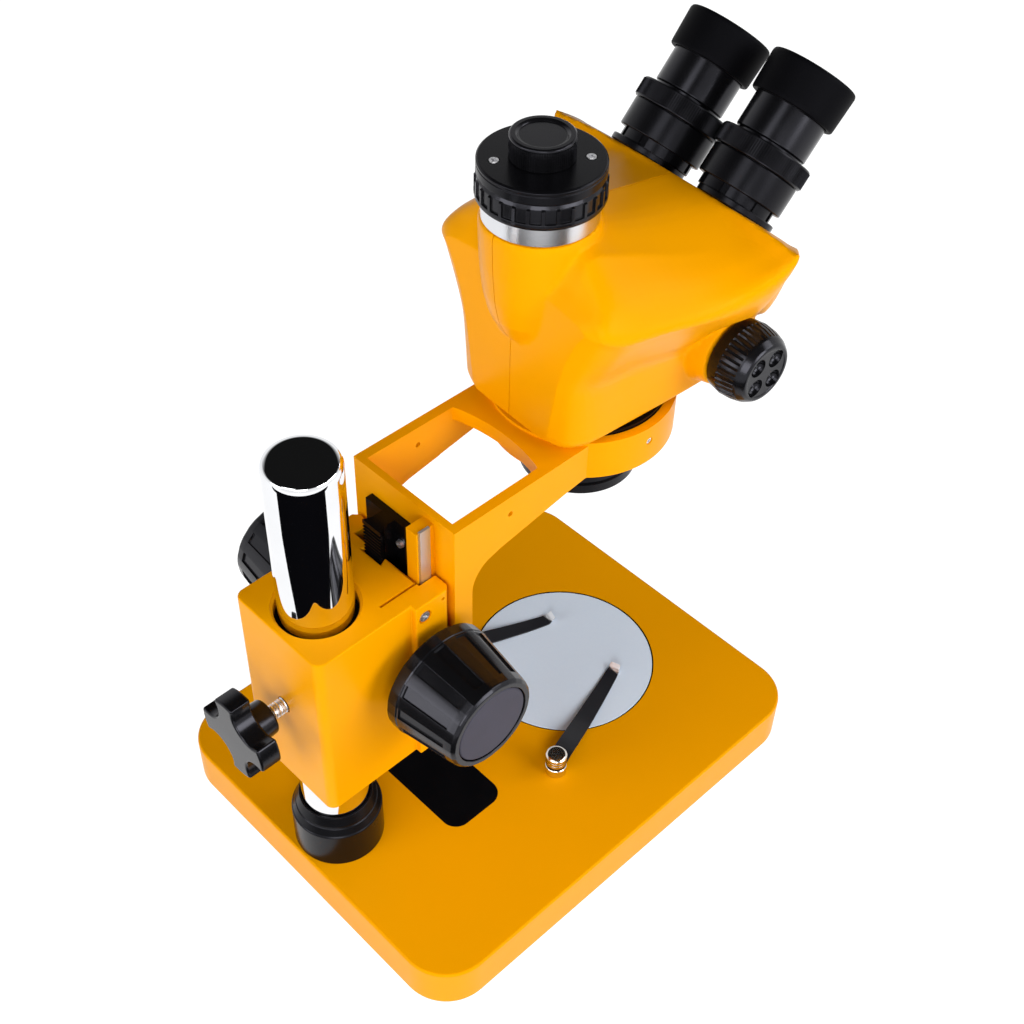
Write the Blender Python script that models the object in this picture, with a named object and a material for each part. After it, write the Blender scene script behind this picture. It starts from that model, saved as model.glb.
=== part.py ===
"""Trinocular stereo microscope on a pillar stand, drawn in millimetres and stored in metres.

Frame: the user sits on the -Y side, +X is the user's right, +Z is up, the feet stand on z = 0.
"""
import math

import bmesh
import bpy
from mathutils import Matrix, Vector

for old in list(bpy.data.objects):
    bpy.data.objects.remove(old, do_unlink=True)

# Driving dimensions in millimetres
MM = 0.001
Y_SHIFT = 7.68
FOOT_H = 2.5
BASE_W, BASE_L, BASE_T, BASE_R = 200.0, 250.0, 24.4, 23.4
STAGE_Y, STAGE_R = -51.5, 47.8
COL_Y, COL_R, COL_TOP = 101.9, 16.0, 265.4
FLANGE_R, FLANGE_H, FLANGE_TOP = 21.4, 21.6, 31.6
CLIP_X, CLIP_Y, CLIP_AIM = 48.3, 2.7, 19.5
BLOCK_W, BLOCK_REAR, BLOCK_FRONT = 27.4, 123.5, 64.3
BLOCK_Z0, BLOCK_Z1 = 87.4, 185.2
JAW_W, JAW_IN, JAW_FRONT, JAW_REAR = 30.5, 20.7, 55.3, 74.6
GIB_Y, GIB_Z = 69.6, 177.4
SHAFT_Y, SHAFT_Z = 71.0, 146.7
CLAMP_Z = 137.9
TOOTH_MODULE, PINION_TEETH = 0.6, 14
PITCH_R = TOOTH_MODULE * PINION_TEETH / 2
RACK_Y = SHAFT_Y - PITCH_R
RACK_X, RACK_Z0, RACK_Z1 = 5.4, 114.0, 202.5
ARM_W, ARM_IN, ARM_REAR, ARM_TOP, ARM_BOTTOM = 31.4, 26.5, 54.0, 216.0, 112.0
RING_R, RING_BORE, RING_Z0, RING_Z1 = 42.3, 38.2, 197.5, 217.5
HEAD_TURN = math.radians(3.0)
PORT_Y = 29.5
ZOOM_Y, ZOOM_Z = -39.4, 244.0
EYE_X, EYE_Y, EYE_Z, EYE_TILT = 23.5, -87.0, 329.6, math.radians(42.2)
EYE_PIVOT = 5.5
RIDGE_Y, RIDGE_Z = -44.0, 306.3
FACE_SLOPE = math.tan(EYE_TILT)

# Colours, roughness and metal of each material
PALETTE = {
    "yellow_paint": ((0.90, 0.36, 0.004), 0.42, 0.0),
    "black_gloss": ((0.012, 0.012, 0.014), 0.28, 0.0),
    "black_satin": ((0.016, 0.016, 0.018), 0.42, 0.3),
    "black_rubber": ((0.015, 0.015, 0.017), 0.75, 0.0),
    "dark_grey": ((0.05, 0.05, 0.058), 0.55, 0.0),
    "chrome": ((0.82, 0.83, 0.85), 0.05, 1.0),
    "steel": ((0.60, 0.60, 0.62), 0.28, 1.0),
    "nickel": ((0.62, 0.56, 0.47), 0.22, 1.0),
    "brass": ((0.72, 0.50, 0.18), 0.30, 1.0),
    "stage_white": ((0.60, 0.64, 0.76), 0.45, 0.0),
    "spring_black": ((0.03, 0.03, 0.035), 0.35, 0.6),
    "glass": ((0.55, 0.62, 0.66), 0.04, 0.0),
    "aluminium": ((0.72, 0.73, 0.75), 0.30, 1.0),
}


def material(name):
    found = bpy.data.materials.get(name)
    if found:
        return found
    mat = bpy.data.materials.new(name)
    mat.use_nodes = True
    shader = mat.node_tree.nodes["Principled BSDF"]
    colour, rough, metal = PALETTE[name]
    shader.inputs["Base Color"].default_value = (*colour, 1.0)
    shader.inputs["Roughness"].default_value = rough
    shader.inputs["Metallic"].default_value = metal
    return mat


def empty(name, parent=None, loc=(0, 0, 0), rot=(0, 0, 0)):
    obj = bpy.data.objects.new(name, None)
    bpy.context.scene.collection.objects.link(obj)
    obj.parent = parent
    obj.location = Vector(loc) * MM
    obj.rotation_euler = rot
    return obj


def place(name, bm, mat, parent, loc=(0, 0, 0), rot=(0, 0, 0), smooth=True, angle=32.0):
    """Turn a mesh drawn in millimetres into a named object in metres."""
    bmesh.ops.remove_doubles(bm, verts=bm.verts, dist=1e-4)
    bmesh.ops.recalc_face_normals(bm, faces=bm.faces)
    bmesh.ops.scale(bm, vec=(MM, MM, MM), verts=bm.verts)
    mesh = bpy.data.meshes.new(name)
    bm.to_mesh(mesh)
    bm.free()
    if smooth:
        mesh.shade_smooth()
        mesh.set_sharp_from_angle(angle=math.radians(angle))
    obj = bpy.data.objects.new(name, mesh)
    bpy.context.scene.collection.objects.link(obj)
    if mat:
        mesh.materials.append(material(mat))
    obj.parent = parent
    obj.location = Vector(loc) * MM
    obj.rotation_euler = rot
    return obj


def mirrored(bm):
    """Mirror a mesh across the plane x = 0."""
    bmesh.ops.scale(bm, vec=(-1, 1, 1), verts=bm.verts)
    bmesh.ops.reverse_faces(bm, faces=bm.faces)
    return bm


def revolve(profile, steps=24, turn=2 * math.pi, bm=None):
    """Spin an (r, z) profile round Z; a profile that misses the axis is closed into a ring."""
    bm = bm or bmesh.new()
    verts = [bm.verts.new((r, 0, z)) for r, z in profile]
    pairs = list(zip(verts, verts[1:]))
    if profile[0][0] > 1e-6 or profile[-1][0] > 1e-6:
        pairs.append((verts[-1], verts[0]))
    edges = [bm.edges.new(pair) for pair in pairs]
    full = abs(turn - 2 * math.pi) < 1e-6
    bmesh.ops.spin(bm, geom=verts + edges, cent=(0, 0, 0), axis=(0, 0, 1), angle=turn,
                   steps=steps, use_merge=full)
    bmesh.ops.remove_doubles(bm, verts=bm.verts, dist=1e-4)
    return bm


def extrude(outline, low, high, axis="Z", bm=None):
    """Extrude a closed outline of (u, v) points along one axis between two heights."""
    bm = bm or bmesh.new()
    spots = {"X": lambda u, v, w: (w, u, v), "Y": lambda u, v, w: (u, w, v), "Z": lambda u, v, w: (u, v, w)}
    spot = spots[axis]
    floor = [bm.verts.new(spot(u, v, low)) for u, v in outline]
    face = bm.faces.new(floor)
    grown = bmesh.ops.extrude_face_region(bm, geom=[face])
    new = [g for g in grown["geom"] if isinstance(g, bmesh.types.BMVert)]
    bmesh.ops.translate(bm, verts=new, vec=Vector(spot(0, 0, high)) - Vector(spot(0, 0, low)))
    bmesh.ops.recalc_face_normals(bm, faces=bm.faces)
    return bm


def box(x0, x1, y0, y1, z0, z1, bm=None):
    return extrude([(x0, y0), (x1, y0), (x1, y1), (x0, y1)], z0, z1, bm=bm)


def arc(cx, cy, r, a0, a1, n):
    """Points on an arc, angles in degrees."""
    return [(cx + r * math.cos(math.radians(a0 + (a1 - a0) * k / n)),
             cy + r * math.sin(math.radians(a0 + (a1 - a0) * k / n))) for k in range(n + 1)]


def round_rect(w, l, r, n=6, cx=0.0, cy=0.0):
    pts = []
    for sx, sy, a0 in ((1, 1, 0), (-1, 1, 90), (-1, -1, 180), (1, -1, 270)):
        pts += arc(cx + sx * (w / 2 - r), cy + sy * (l / 2 - r), r, a0, a0 + 90, n)
    return pts


def circle(cx, cy, r, n=32):
    return arc(cx, cy, r, 0, 360 - 360 / n, n - 1)


def bevel(obj, width, segments=1, angle=40.0):
    mod = obj.modifiers.new("bevel", "BEVEL")
    mod.width = width * MM
    mod.segments = segments
    mod.limit_method = "ANGLE"
    mod.angle_limit = math.radians(angle)
    mod.harden_normals = False
    return mod


def boolean(obj, tool, how="DIFFERENCE"):
    mod = obj.modifiers.new(how.lower(), "BOOLEAN")
    mod.operation = how
    mod.solver = "EXACT"
    mod.object = tool
    tool.hide_render = True
    tool.display_type = "WIRE"
    return mod


def cutter(name, bm, parent, loc=(0, 0, 0), rot=(0, 0, 0)):
    obj = place("cut_" + name, bm, None, parent, loc, rot, smooth=False)
    obj.hide_render = True
    obj.display_type = "WIRE"
    return obj


ROOT = empty("stand_frame", None, (0, Y_SHIFT, FOOT_H))
HEAD = empty("head_frame", ROOT, (0, STAGE_Y, 0), (0, 0, -HEAD_TURN))
EYES = {s: empty("eye_frame_" + n, HEAD, (s * EYE_X, EYE_Y, EYE_Z), (EYE_TILT, 0, 0))
        for s, n in ((1, "right"), (-1, "left"))}
ALONG_X = (0, math.radians(90), 0)
ALONG_Y = (math.radians(-90), 0, 0)


# Base plate: a casting, ribbed and hollow underneath
def base_plate():
    plate = place("base_plate", extrude(round_rect(BASE_W, BASE_L, BASE_R, 8), 0, BASE_T),
                  "yellow_paint", ROOT)
    bevel(plate, 1.2)
    pockets = bmesh.new()
    for x0, x1 in ((-92, -2), (2, 92)):
        for y0, y1 in ((-117, -56), (-52, 48), (52, 117)):
            extrude(round_rect(x1 - x0, y1 - y0, 6, 2, (x0 + x1) / 2, (y0 + y1) / 2), -1, 16, bm=pockets)
    pockets = cutter("pockets", pockets, ROOT)
    bosses = bmesh.new()
    for sx in (-1, 1):
        for y in (-106, 106):
            extrude(circle(sx * 81, y, 11, 12), -2, 17, bm=bosses)
        extrude(circle(sx * CLIP_X, CLIP_Y, 8, 12), -2, 17, bm=bosses)
    extrude(circle(0, COL_Y, 25, 24), -2, 17, bm=bosses)
    boolean(pockets, cutter("bosses", bosses, ROOT))
    boolean(plate, pockets)
    holes = bmesh.new()
    extrude(circle(0, STAGE_Y, STAGE_R + 0.4, 48), 20, 30, bm=holes)
    extrude(circle(0, COL_Y, 4.5, 16), -1, 30, bm=holes)
    for sx in (-1, 1):
        extrude(circle(sx * CLIP_X, CLIP_Y, 2.7, 12), 13, 30, bm=holes)
        for y in (-106, 106):
            extrude(circle(sx * 81, y, 2.9, 12), -1, 8, bm=holes)
    boolean(plate, cutter("base_holes", holes, ROOT))
    counter = cutter("bolt_recess", extrude(circle(0, COL_Y, 12, 24), -1, 10), ROOT)
    boolean(plate, counter)


base_plate()

FOOT = [(0, -FOOT_H), (8.0, -FOOT_H), (9.0, -0.9), (9.0, -0.05), (2.5, -0.05), (2.5, 6.0), (0, 6.6)]
for end, fy in (("front", -106), ("rear", 106)):
    for side, sx in (("right", 1), ("left", -1)):
        place("foot_" + end + "_" + side, revolve(FOOT, 16), "black_rubber", ROOT, (sx * 81, fy, 0))

place("stage_plate", revolve([(0, 20.1), (STAGE_R, 20.1), (STAGE_R, 23.9), (STAGE_R - 0.4, BASE_T - 0.1),
                              (0, BASE_T - 0.1)], 48), "stage_white", ROOT, (0, STAGE_Y, 0))

# Column, its stepped flange and the bolt from below
place("column", revolve([(0, 50), (3.9, 50), (4.2, 48), (4.2, 24.45), (COL_R - 0.6, 24.45), (COL_R, 25.2),
                         (COL_R, COL_TOP - 2.2), (COL_R - 0.6, COL_TOP - 0.7), (COL_R - 1.8, COL_TOP),
                         (0, COL_TOP)], 32), "chrome", ROOT, (0, COL_Y, 0))
FLANGE = [(COL_R + 0.3, 0.05), (FLANGE_R, 0.05), (FLANGE_R, FLANGE_H - 0.3), (FLANGE_R - 0.6, FLANGE_H + 0.4),
          (19.3, FLANGE_H + 4.0), (18.7, FLANGE_H + 4.4), (19.0, FLANGE_H + 5.0),
          (17.2, FLANGE_TOP), (COL_R + 0.3, FLANGE_TOP)]
place("column_flange", revolve(FLANGE, 32), "black_satin", ROOT, (0, COL_Y, BASE_T))
hexagon = revolve([(0, 2.4), (7.2, 2.4), (7.2, 8.0), (0, 8.0)], 6)
bolt = place("column_bolt", hexagon, "steel", ROOT, (0, COL_Y, 0), smooth=False)
shank = cutter("bolt_shank", revolve([(0, 7), (3.9, 7), (3.9, 44), (3.2, 45), (0, 45)], 16), ROOT, (0, COL_Y, 0))
boolean(bolt, shank, "UNION")
place("column_washer", revolve([(4.5, 8.2), (10.5, 8.2), (10.5, 9.9), (4.5, 9.9)], 24), "steel", ROOT,
      (0, COL_Y, 0))


# Stage clips: a post that turns in the base and a spring leaf held in its neck
LEAF_Z = 30.6


def clip_leaf():
    """Leaf from the post to the stage: ring end, tapering strip, tip turned up."""
    length, thick = 74.2, 0.8
    stations = [(0.0, 4.7, LEAF_Z), (0.10, 4.8, LEAF_Z), (0.2, 4.8, 29.6), (0.45, 4.5, 26.6), (0.75, 3.8, 24.7),
                (0.93, 3.3, 24.5), (0.965, 3.0, 25.2), (1.0, 2.6, 27.2)]
    bm = bmesh.new()
    rows = []
    for t, half, z in stations:
        d = t * length
        rows.append([bm.verts.new((u, d, w)) for u, w in ((-half, z), (half, z), (half, z + thick),
                                                         (-half, z + thick))])
    for a, b in zip(rows, rows[1:]):
        for k in range(4):
            bm.faces.new((a[k], a[(k + 1) % 4], b[(k + 1) % 4], b[k]))
    bm.faces.new(rows[0][::-1])
    bm.faces.new(rows[-1])
    return bm


POST = [(0, 14.2), (2.4, 14.2), (2.4, 24.5), (5.3, 24.5), (5.3, 30.0), (3.2, 30.0), (3.2, 32.0), (5.3, 32.0),
        (5.3, 37.5), (4.7, 38.2), (0, 38.4)]
for side, sx in (("right", 1), ("left", -1)):
    spot = (sx * CLIP_X, CLIP_Y, 0)
    aim = (0, 0, math.radians(180 - sx * CLIP_AIM))
    place("clip_post_" + side, revolve(POST, 16), "nickel", ROOT, spot)
    leaf = place("clip_leaf_" + side, clip_leaf(), "spring_black", ROOT, spot, aim)
    end = [(0, LEAF_Z), (5.2, LEAF_Z), (5.2, LEAF_Z + 0.8), (0, LEAF_Z + 0.8)]
    ring = cutter("leaf_ring_" + side, revolve(end, 16), ROOT, spot)
    boolean(leaf, ring, "UNION")
    boolean(leaf, cutter("leaf_eye_" + side, revolve([(0, 28), (3.5, 28), (3.5, 33), (0, 33)], 12), ROOT, spot))

# Liner that slides on the column and lets the block swing
place("column_liner", revolve([(COL_R + 0.3, 94), (COL_R + 1.4, 94), (COL_R + 1.4, 180), (COL_R + 0.3, 180)], 32),
      "black_satin", ROOT, (0, COL_Y, 0))


# Focus block: clamps the column behind and guides the arm in front
def focus_block():
    right = [(BLOCK_W, JAW_REAR), (JAW_W, JAW_REAR), (JAW_W, JAW_FRONT + 2.5), (JAW_W - 2.5, JAW_FRONT),
             (JAW_IN, JAW_FRONT), (JAW_IN, BLOCK_FRONT), (RACK_X + 4.6, BLOCK_FRONT), (RACK_X + 6.4, 68.4)]
    slot_left = [(RACK_X - 6.4, 68.4), (RACK_X - 4.6, BLOCK_FRONT)]
    left = [(-JAW_IN, BLOCK_FRONT), (-JAW_IN, JAW_FRONT), (-JAW_W + 2.5, JAW_FRONT), (-JAW_W, JAW_FRONT + 2.5),
            (-JAW_W, JAW_REAR), (-BLOCK_W, JAW_REAR)]
    rear = arc(-BLOCK_W + 4.5, BLOCK_REAR - 4.5, 4.5, 180, 90, 4)
    rear += arc(BLOCK_W - 4.5, BLOCK_REAR - 4.5, 4.5, 90, 0, 4)
    block = place("focus_block", extrude(right + slot_left + left + rear, BLOCK_Z0, BLOCK_Z1), "yellow_paint", ROOT)
    bevel(block, 0.9, 1, 50)
    bore = revolve([(0, 80), (19.4, 80), (19.4, BLOCK_Z0 + 0.6), (17.8, BLOCK_Z0 + 2.2), (17.8, BLOCK_Z1 - 1.6),
                    (19.0, BLOCK_Z1 - 0.4), (19.0, 190), (0, 190)], 32)
    boolean(block, cutter("block_bore", bore, ROOT, (0, COL_Y, 0)))
    cuts = bmesh.new()
    box(-19.7, -18.3, 60, 84.1, 120, 190, bm=cuts)
    boolean(block, cutter("block_slit", cuts, ROOT))
    across = bmesh.new()
    extrude(circle(SHAFT_Y, SHAFT_Z, 6.3, 16), -40, 40, axis="X", bm=across)
    boolean(block, cutter("block_shaft", across, ROOT))
    small = bmesh.new()
    extrude(circle(GIB_Y, GIB_Z, 3.4, 16), -40, -28.6, axis="X", bm=small)
    extrude(circle(59.8, 181.3, 0.9, 8), -40, -28.0, axis="X", bm=small)
    boolean(block, cutter("block_screw_recess", small, ROOT))
    inner = bmesh.new()
    extrude(circle(GIB_Y, GIB_Z, 1.8, 10), -29, -12, axis="X", bm=inner)
    boolean(block, cutter("block_screw_hole", inner, ROOT))
    boolean(block, cutter("block_stud_hole", extrude(circle(0, CLAMP_Z, 4.0, 16), 114, 130, axis="Y"), ROOT))


focus_block()
place("gib_screw", revolve([(0, 12.6), (1.5, 12.6), (1.5, 1.75), (3.0, 1.75), (3.0, 0.4), (2.4, 0), (0.9, 0),
                            (0.9, 1.0), (0, 1.2)], 16), "steel", ROOT, (-30.45, GIB_Y, GIB_Z), ALONG_X)
BUSH = [(3.3, -0.1), (6.0, -0.1), (6.0, 15.0), (9.4, 15.0), (9.4, 20.6), (9.0, 21.0), (3.3, 21.0)]
for side, sx in (("right", 1), ("left", -1)):
    start = RACK_X + 6.3 if sx > 0 else -(RACK_X - 6.3)
    reach = JAW_W + 0.1 - start
    profile = [(r, z if z < 14 else reach + z - 15.0) for r, z in BUSH]
    profile = [(r, min(z, 36.9 - start)) for r, z in profile]
    place("focus_bush_" + side, revolve(profile, 16), "brass", ROOT, (sx * start, SHAFT_Y, SHAFT_Z),
          (0, math.radians(90 * sx), 0))

# Clamp on the block's rear face: pad, stud and lobed knob
place("clamp_pad", revolve([(0, 0), (3.6, 0), (3.6, 2.7), (3.2, 3.0), (0, 3.0)], 16), "brass", ROOT,
      (0, 119.55, CLAMP_Z), ALONG_Y)
place("clamp_stud", revolve([(0, 0), (3.1, 0), (3.5, 0.5), (3.5, 22.4), (0, 22.4)], 16), "steel", ROOT,
      (0, 122.7, CLAMP_Z), ALONG_Y)


def star_knob(lobes=4, reach=20.5, waist=11.5, spread=18.0):
    """Knob with wide lobes joined by round hollows, drilled for the stud; spread is half a lobe, in degrees."""
    half = math.pi / lobes
    corner = reach * math.cos(half - math.radians(spread))
    away = (reach ** 2 - waist ** 2) / (2 * (corner - waist))
    hollow = away - waist
    sweep = math.degrees(math.acos((away - corner) / hollow))
    pts = []
    for k in range(lobes):
        lobe = 10.0 + 360.0 * k / lobes
        valley = lobe + 180.0 / lobes
        cx, cy = away * math.cos(math.radians(valley)), away * math.sin(math.radians(valley))
        pts += arc(0, 0, reach, lobe - spread, lobe + spread, 3)
        pts += arc(cx, cy, hollow, valley + 180 + sweep, valley + 180 - sweep, 6)[1:-1]
    return extrude(pts, 9.0, 19.0)


knob = place("clamp_knob", star_knob(), "black_satin", ROOT, (0, 131.6, CLAMP_Z), ALONG_Y)
bevel(knob, 1.3, 1, 40)
hub = cutter("knob_hub", revolve([(0, 0.4), (7.4, 0.4), (8.0, 1.0), (9.0, 12.0), (0, 12.0)], 20), ROOT,
             (0, 131.6, CLAMP_Z), ALONG_Y)
boolean(knob, hub, "UNION")
boolean(knob, cutter("knob_bore", revolve([(0, -2), (3.8, -2), (3.8, 13.8), (0, 13.8)], 16), ROOT,
                     (0, 131.6, CLAMP_Z), ALONG_Y))


# Focus pinion, its shaft, and the two large knobs with their end discs
def pinion_outline(turned=0.0):
    """Tooth outline with thinned teeth that run clear in the rack."""
    pts = []
    pitch = 2 * math.pi / PINION_TEETH
    for k in range(PINION_TEETH):
        mid = k * pitch + turned
        for r, half in ((PITCH_R - 0.72, 0.37), (PITCH_R + 0.42, 0.095)):
            pts.append((r, mid - half * pitch))
        for r, half in ((PITCH_R + 0.42, 0.095), (PITCH_R - 0.72, 0.37)):
            pts.append((r, mid + half * pitch))
    return [(r * math.cos(a), r * math.sin(a)) for r, a in pts]


shaft = place("pinion_shaft", extrude(pinion_outline(math.pi), RACK_X - 5.0, RACK_X + 5.0), "steel", ROOT,
              (0, SHAFT_Y, SHAFT_Z), (math.radians(90), 0, math.radians(90)), smooth=False)
rod = revolve([(0, -64), (2.7, -64), (3.0, -63.7), (3.0, 63.7), (2.7, 64), (0, 64)], 16)
boolean(shaft, cutter("shaft_rod", rod, ROOT, (0, SHAFT_Y, SHAFT_Z), ALONG_X), "UNION")


def focus_knob():
    """Knob from its back at x = 37.2 to its rim at 72.9, with long grip flats cut between ribs."""
    profile = [(27.0, 0.0, 0), (27.0, 5.2, 0), (26.5, 6.4, 1), (23.0, 30.0, 1), (22.8, 31.2, 0), (22.4, 34.5, 0),
               (20.9, 35.7, 0), (18.7, 35.7, 0), (18.7, 33.2, 0)]
    flats, per = 14, 4
    bm = bmesh.new()
    rings = []
    for r, z, grip in profile:
        ring = []
        for k in range(flats * per):
            a = 2 * math.pi * k / (flats * per)
            cut = 0.9 if grip and k % per in (0, 3) else 0.0
            ring.append(bm.verts.new(((r - cut) * math.cos(a), (r - cut) * math.sin(a), z)))
        rings.append(ring)
    for low, high in zip(rings, rings[1:]):
        for k in range(len(low)):
            j = (k + 1) % len(low)
            bm.faces.new((low[k], low[j], high[j], high[k]))
    bm.faces.new(rings[0][::-1])
    bm.faces.new(rings[-1])
    return bm


for side, sx in (("right", 1), ("left", -1)):
    turn = (0, math.radians(90 * sx), 0)
    at = (sx * 37.2, SHAFT_Y, SHAFT_Z)
    wheel = place("focus_knob_" + side, focus_knob(), "black_gloss", ROOT, at, turn)
    boolean(wheel, cutter("focus_bore_" + side, revolve([(0, -2), (3.05, -2), (3.05, 27), (0, 27)], 16), ROOT,
                          at, turn))
    place("focus_cap_" + side, revolve([(0, 33.3), (18.3, 33.3), (18.3, 35.2), (17.8, 35.5), (0, 35.5)], 32),
          "dark_grey", ROOT, at, turn)


# Arm: rear wall and rails, web and the ring that carries the head
def arm_bracket():
    side = [(ARM_REAR, ARM_TOP), (ARM_REAR, ARM_BOTTOM), (44, ARM_BOTTOM), (44, 170), (43.2, 176.5), (40.0, 182.6),
            (35.0, 187.0), (28.0, 189.6), (-12, 196.3), (-22, RING_Z0), (-60, RING_Z0), (-60, ARM_TOP)]
    arm = place("arm_bracket", extrude(side, -ARM_W, ARM_W, axis="X"), "yellow_paint", ROOT)
    window = [(-ARM_IN, 50.6), (ARM_IN, 50.6), (ARM_IN - 0.3, 1.8)]
    window += [(x, -1.7 + 2.6 * (x / 25.0) ** 2) for x in (20, 12, 4, -4, -12, -20)]
    window += [(-ARM_IN + 0.3, 1.8)]
    boolean(arm, cutter("arm_window", extrude(window, 116, 230), ROOT))
    boolean(arm, cutter("arm_under", extrude([(-ARM_IN, -60), (ARM_IN, -60), (ARM_IN, 10), (-ARM_IN, 10)], 190,
                                             209), ROOT))
    trim = [(-50, -62), (50, -62), (50, STAGE_Y), (-50, STAGE_Y)]
    boolean(arm, cutter("arm_trim", extrude(trim, 190, 230), ROOT))
    ring = cutter("arm_ring", extrude(circle(0, STAGE_Y, RING_R, 48), RING_Z0, RING_Z1), ROOT)
    boolean(arm, ring, "UNION")
    boolean(arm, cutter("arm_bore", extrude(circle(0, STAGE_Y, RING_BORE, 40), 180, 240), ROOT))
    boolean(arm, cutter("arm_rib", box(-19.0, -12.6, 53.5, 63.4, ARM_BOTTOM, ARM_TOP - 3.4), ROOT), "UNION")
    holes = bmesh.new()
    extrude(circle(22.6, 206.3, 1.3, 10), -40, 40, axis="X", bm=holes)
    extrude(circle(-50.5, 209.4, 1.8, 12), -50, -30, axis="X", bm=holes)
    boolean(arm, cutter("arm_holes", holes, ROOT))
    bevel(arm, 0.7, 1, 50)


arm_bracket()


# Rack slider on the arm, with trapezoid teeth facing the pinion
SLIDER_SCREW_AT = [("upper", 191.5), ("lower", 124.0)]


def rack_slider():
    x = RACK_X
    top = RACK_Y + TOOTH_MODULE * 0.7
    section = [(-4.6, 54.15), (20.0, 54.15), (20.0, 57.8), (x + 3.9, 57.8), (x + 3.9, 63.6), (x + 5.6, top),
               (x - 5.6, top), (x - 3.9, 63.6), (x - 3.9, 57.8), (-4.6, 57.8)]
    slider = place("rack_slider", extrude(section, RACK_Z0, RACK_Z1), "black_satin", ROOT, smooth=False)
    gaps = bmesh.new()
    pitch = math.pi * TOOTH_MODULE
    count = int((RACK_Z1 - RACK_Z0) / pitch)
    for k in range(-count, count):
        mid = SHAFT_Z + k * pitch
        if RACK_Z0 + 1.2 < mid < RACK_Z1 - 1.2:
            flank = [(top + 0.3, mid - 0.86), (RACK_Y - 0.6, mid - 0.28), (RACK_Y - 0.6, mid + 0.28),
                     (top + 0.3, mid + 0.86)]
            extrude(flank, x - 7, x + 7, axis="X", bm=gaps)
    boolean(slider, cutter("rack_gaps", gaps, ROOT))
    holes = bmesh.new()
    for spot, z in SLIDER_SCREW_AT:
        extrude(circle(-2.2, z, 1.7, 10), 50, 60, axis="Y", bm=holes)
    boolean(slider, cutter("slider_holes", holes, ROOT))


rack_slider()
place("gib_strip", box(-20.35, -19.05, 57.2, 62.6, 113.0, ARM_TOP - 2.0), "steel", ROOT, smooth=False)
SLIDER_SCREW = [(0, 0), (1.45, 0), (1.45, 3.7), (2.2, 3.85), (2.2, 4.9), (1.7, 5.3), (0, 5.4)]
for spot, z in SLIDER_SCREW_AT:
    place("slider_screw_" + spot, revolve(SLIDER_SCREW, 14), "steel", ROOT, (-2.2, 54.15, z), ALONG_Y)
place("head_lock_screw", revolve([(0, 0), (1.5, 0), (1.5, 3.4), (0.8, 3.4), (0.8, 2.2), (0, 2.0)], 12),
      "steel", ROOT, (-38.4, -50.5, 209.4), (0, math.radians(-90), 0))

# Head housing: half sections (x, z) at stations along y, from the bottom centre round to the top centre
STATIONS = [
    (43.3, 24, 220.6, [(27, 245), (29.5, 258), (33.5, 272), (40, 285.5), (42.5, 289), (38, 291.8), (31, 293),
                       (16, 294.5), (0, 295)]),
    (39.0, 33, 219.8, [(34.5, 245), (36, 257), (41, 270), (47, 283.5), (49.5, 288.5), (45, 294.5), (31, 299.5),
                       (16, 301.5), (0, 302)]),
    (30.0, 37.4, 219.5, [(37.8, 243), (39, 255), (45, 268), (51.5, 281.5), (53, 287), (45.5, 298.5), (29.5, 311.5),
                         (15, 315), (0, 315.5)]),
    (12.0, 38.3, 219.5, [(38.5, 243), (39.5, 254), (46, 266), (54.5, 280.5), (56, 286), (46.5, 297), (32.5, 307.5),
                         (16, 313.5), (0, 315.5)]),
    (-8.0, 38.9, 219.5, [(39, 242), (40.5, 251), (48, 262), (57.5, 277), (60, 284), (51, 293.5), (38, 301.5),
                         (19, 309), (0, 312)]),
    (-25.0, 39.2, 219.5, [(39.3, 240), (41, 250), (48, 260), (59, 272.5), (64, 286), (55, 293.3), (43, 298.5),
                          (21, 306), (0, 309)]),
    (-38.0, 39.0, 219.5, [(39.3, 240), (41, 252), (48, 262.5), (58.5, 268.5), (69, 293), (60, 297.5), (46, 300),
                          (23, 305), (0, 307)]),
    (-44.0, 37.6, 219.8, [(38.5, 240), (40, 251), (47, 262.2), (57, 267.5), (71.6, 300), (66, 303.3), (46, 305.3),
                          (23, 306.2), (0, 306.3)]),
    (-49.0, 33.0, 221.5, [(36.5, 240), (39, 250), (46, 259.5), (54, 264.5), (67.5, 297.3), (62, 300.8),
                          (44, 301.8), (22, 301.8), (0, 301.8)]),
    (-54.0, 31.0, 238.0, [(39, 247), (44, 252), (49, 256), (54, 263), (63.5, 294.2), (58, 296.9), (40, 297.2),
                          (20, 297.2), (0, 297.2)]),
    (-66.0, 30.0, 248.0, [(38, 252), (42, 254), (46, 257), (49, 262), (54, 282.5), (50, 286), (36, 286.3),
                          (18, 286.3), (0, 286.3)]),
    (-78.0, 26.0, 256.0, [(34, 258), (37, 259.5), (40, 261), (42, 264), (44.5, 271.5), (41, 275.2), (30, 275.5),
                          (15, 275.5), (0, 275.5)]),
    (-84.0, 22.0, 261.5, [(31, 263), (34, 264), (36.5, 265), (38, 266), (38.5, 267.5), (37, 269), (28, 269.8),
                          (14, 270), (0, 270)]),
]
RIDGE_AT, CREASE_AT = 7, 6


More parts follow.
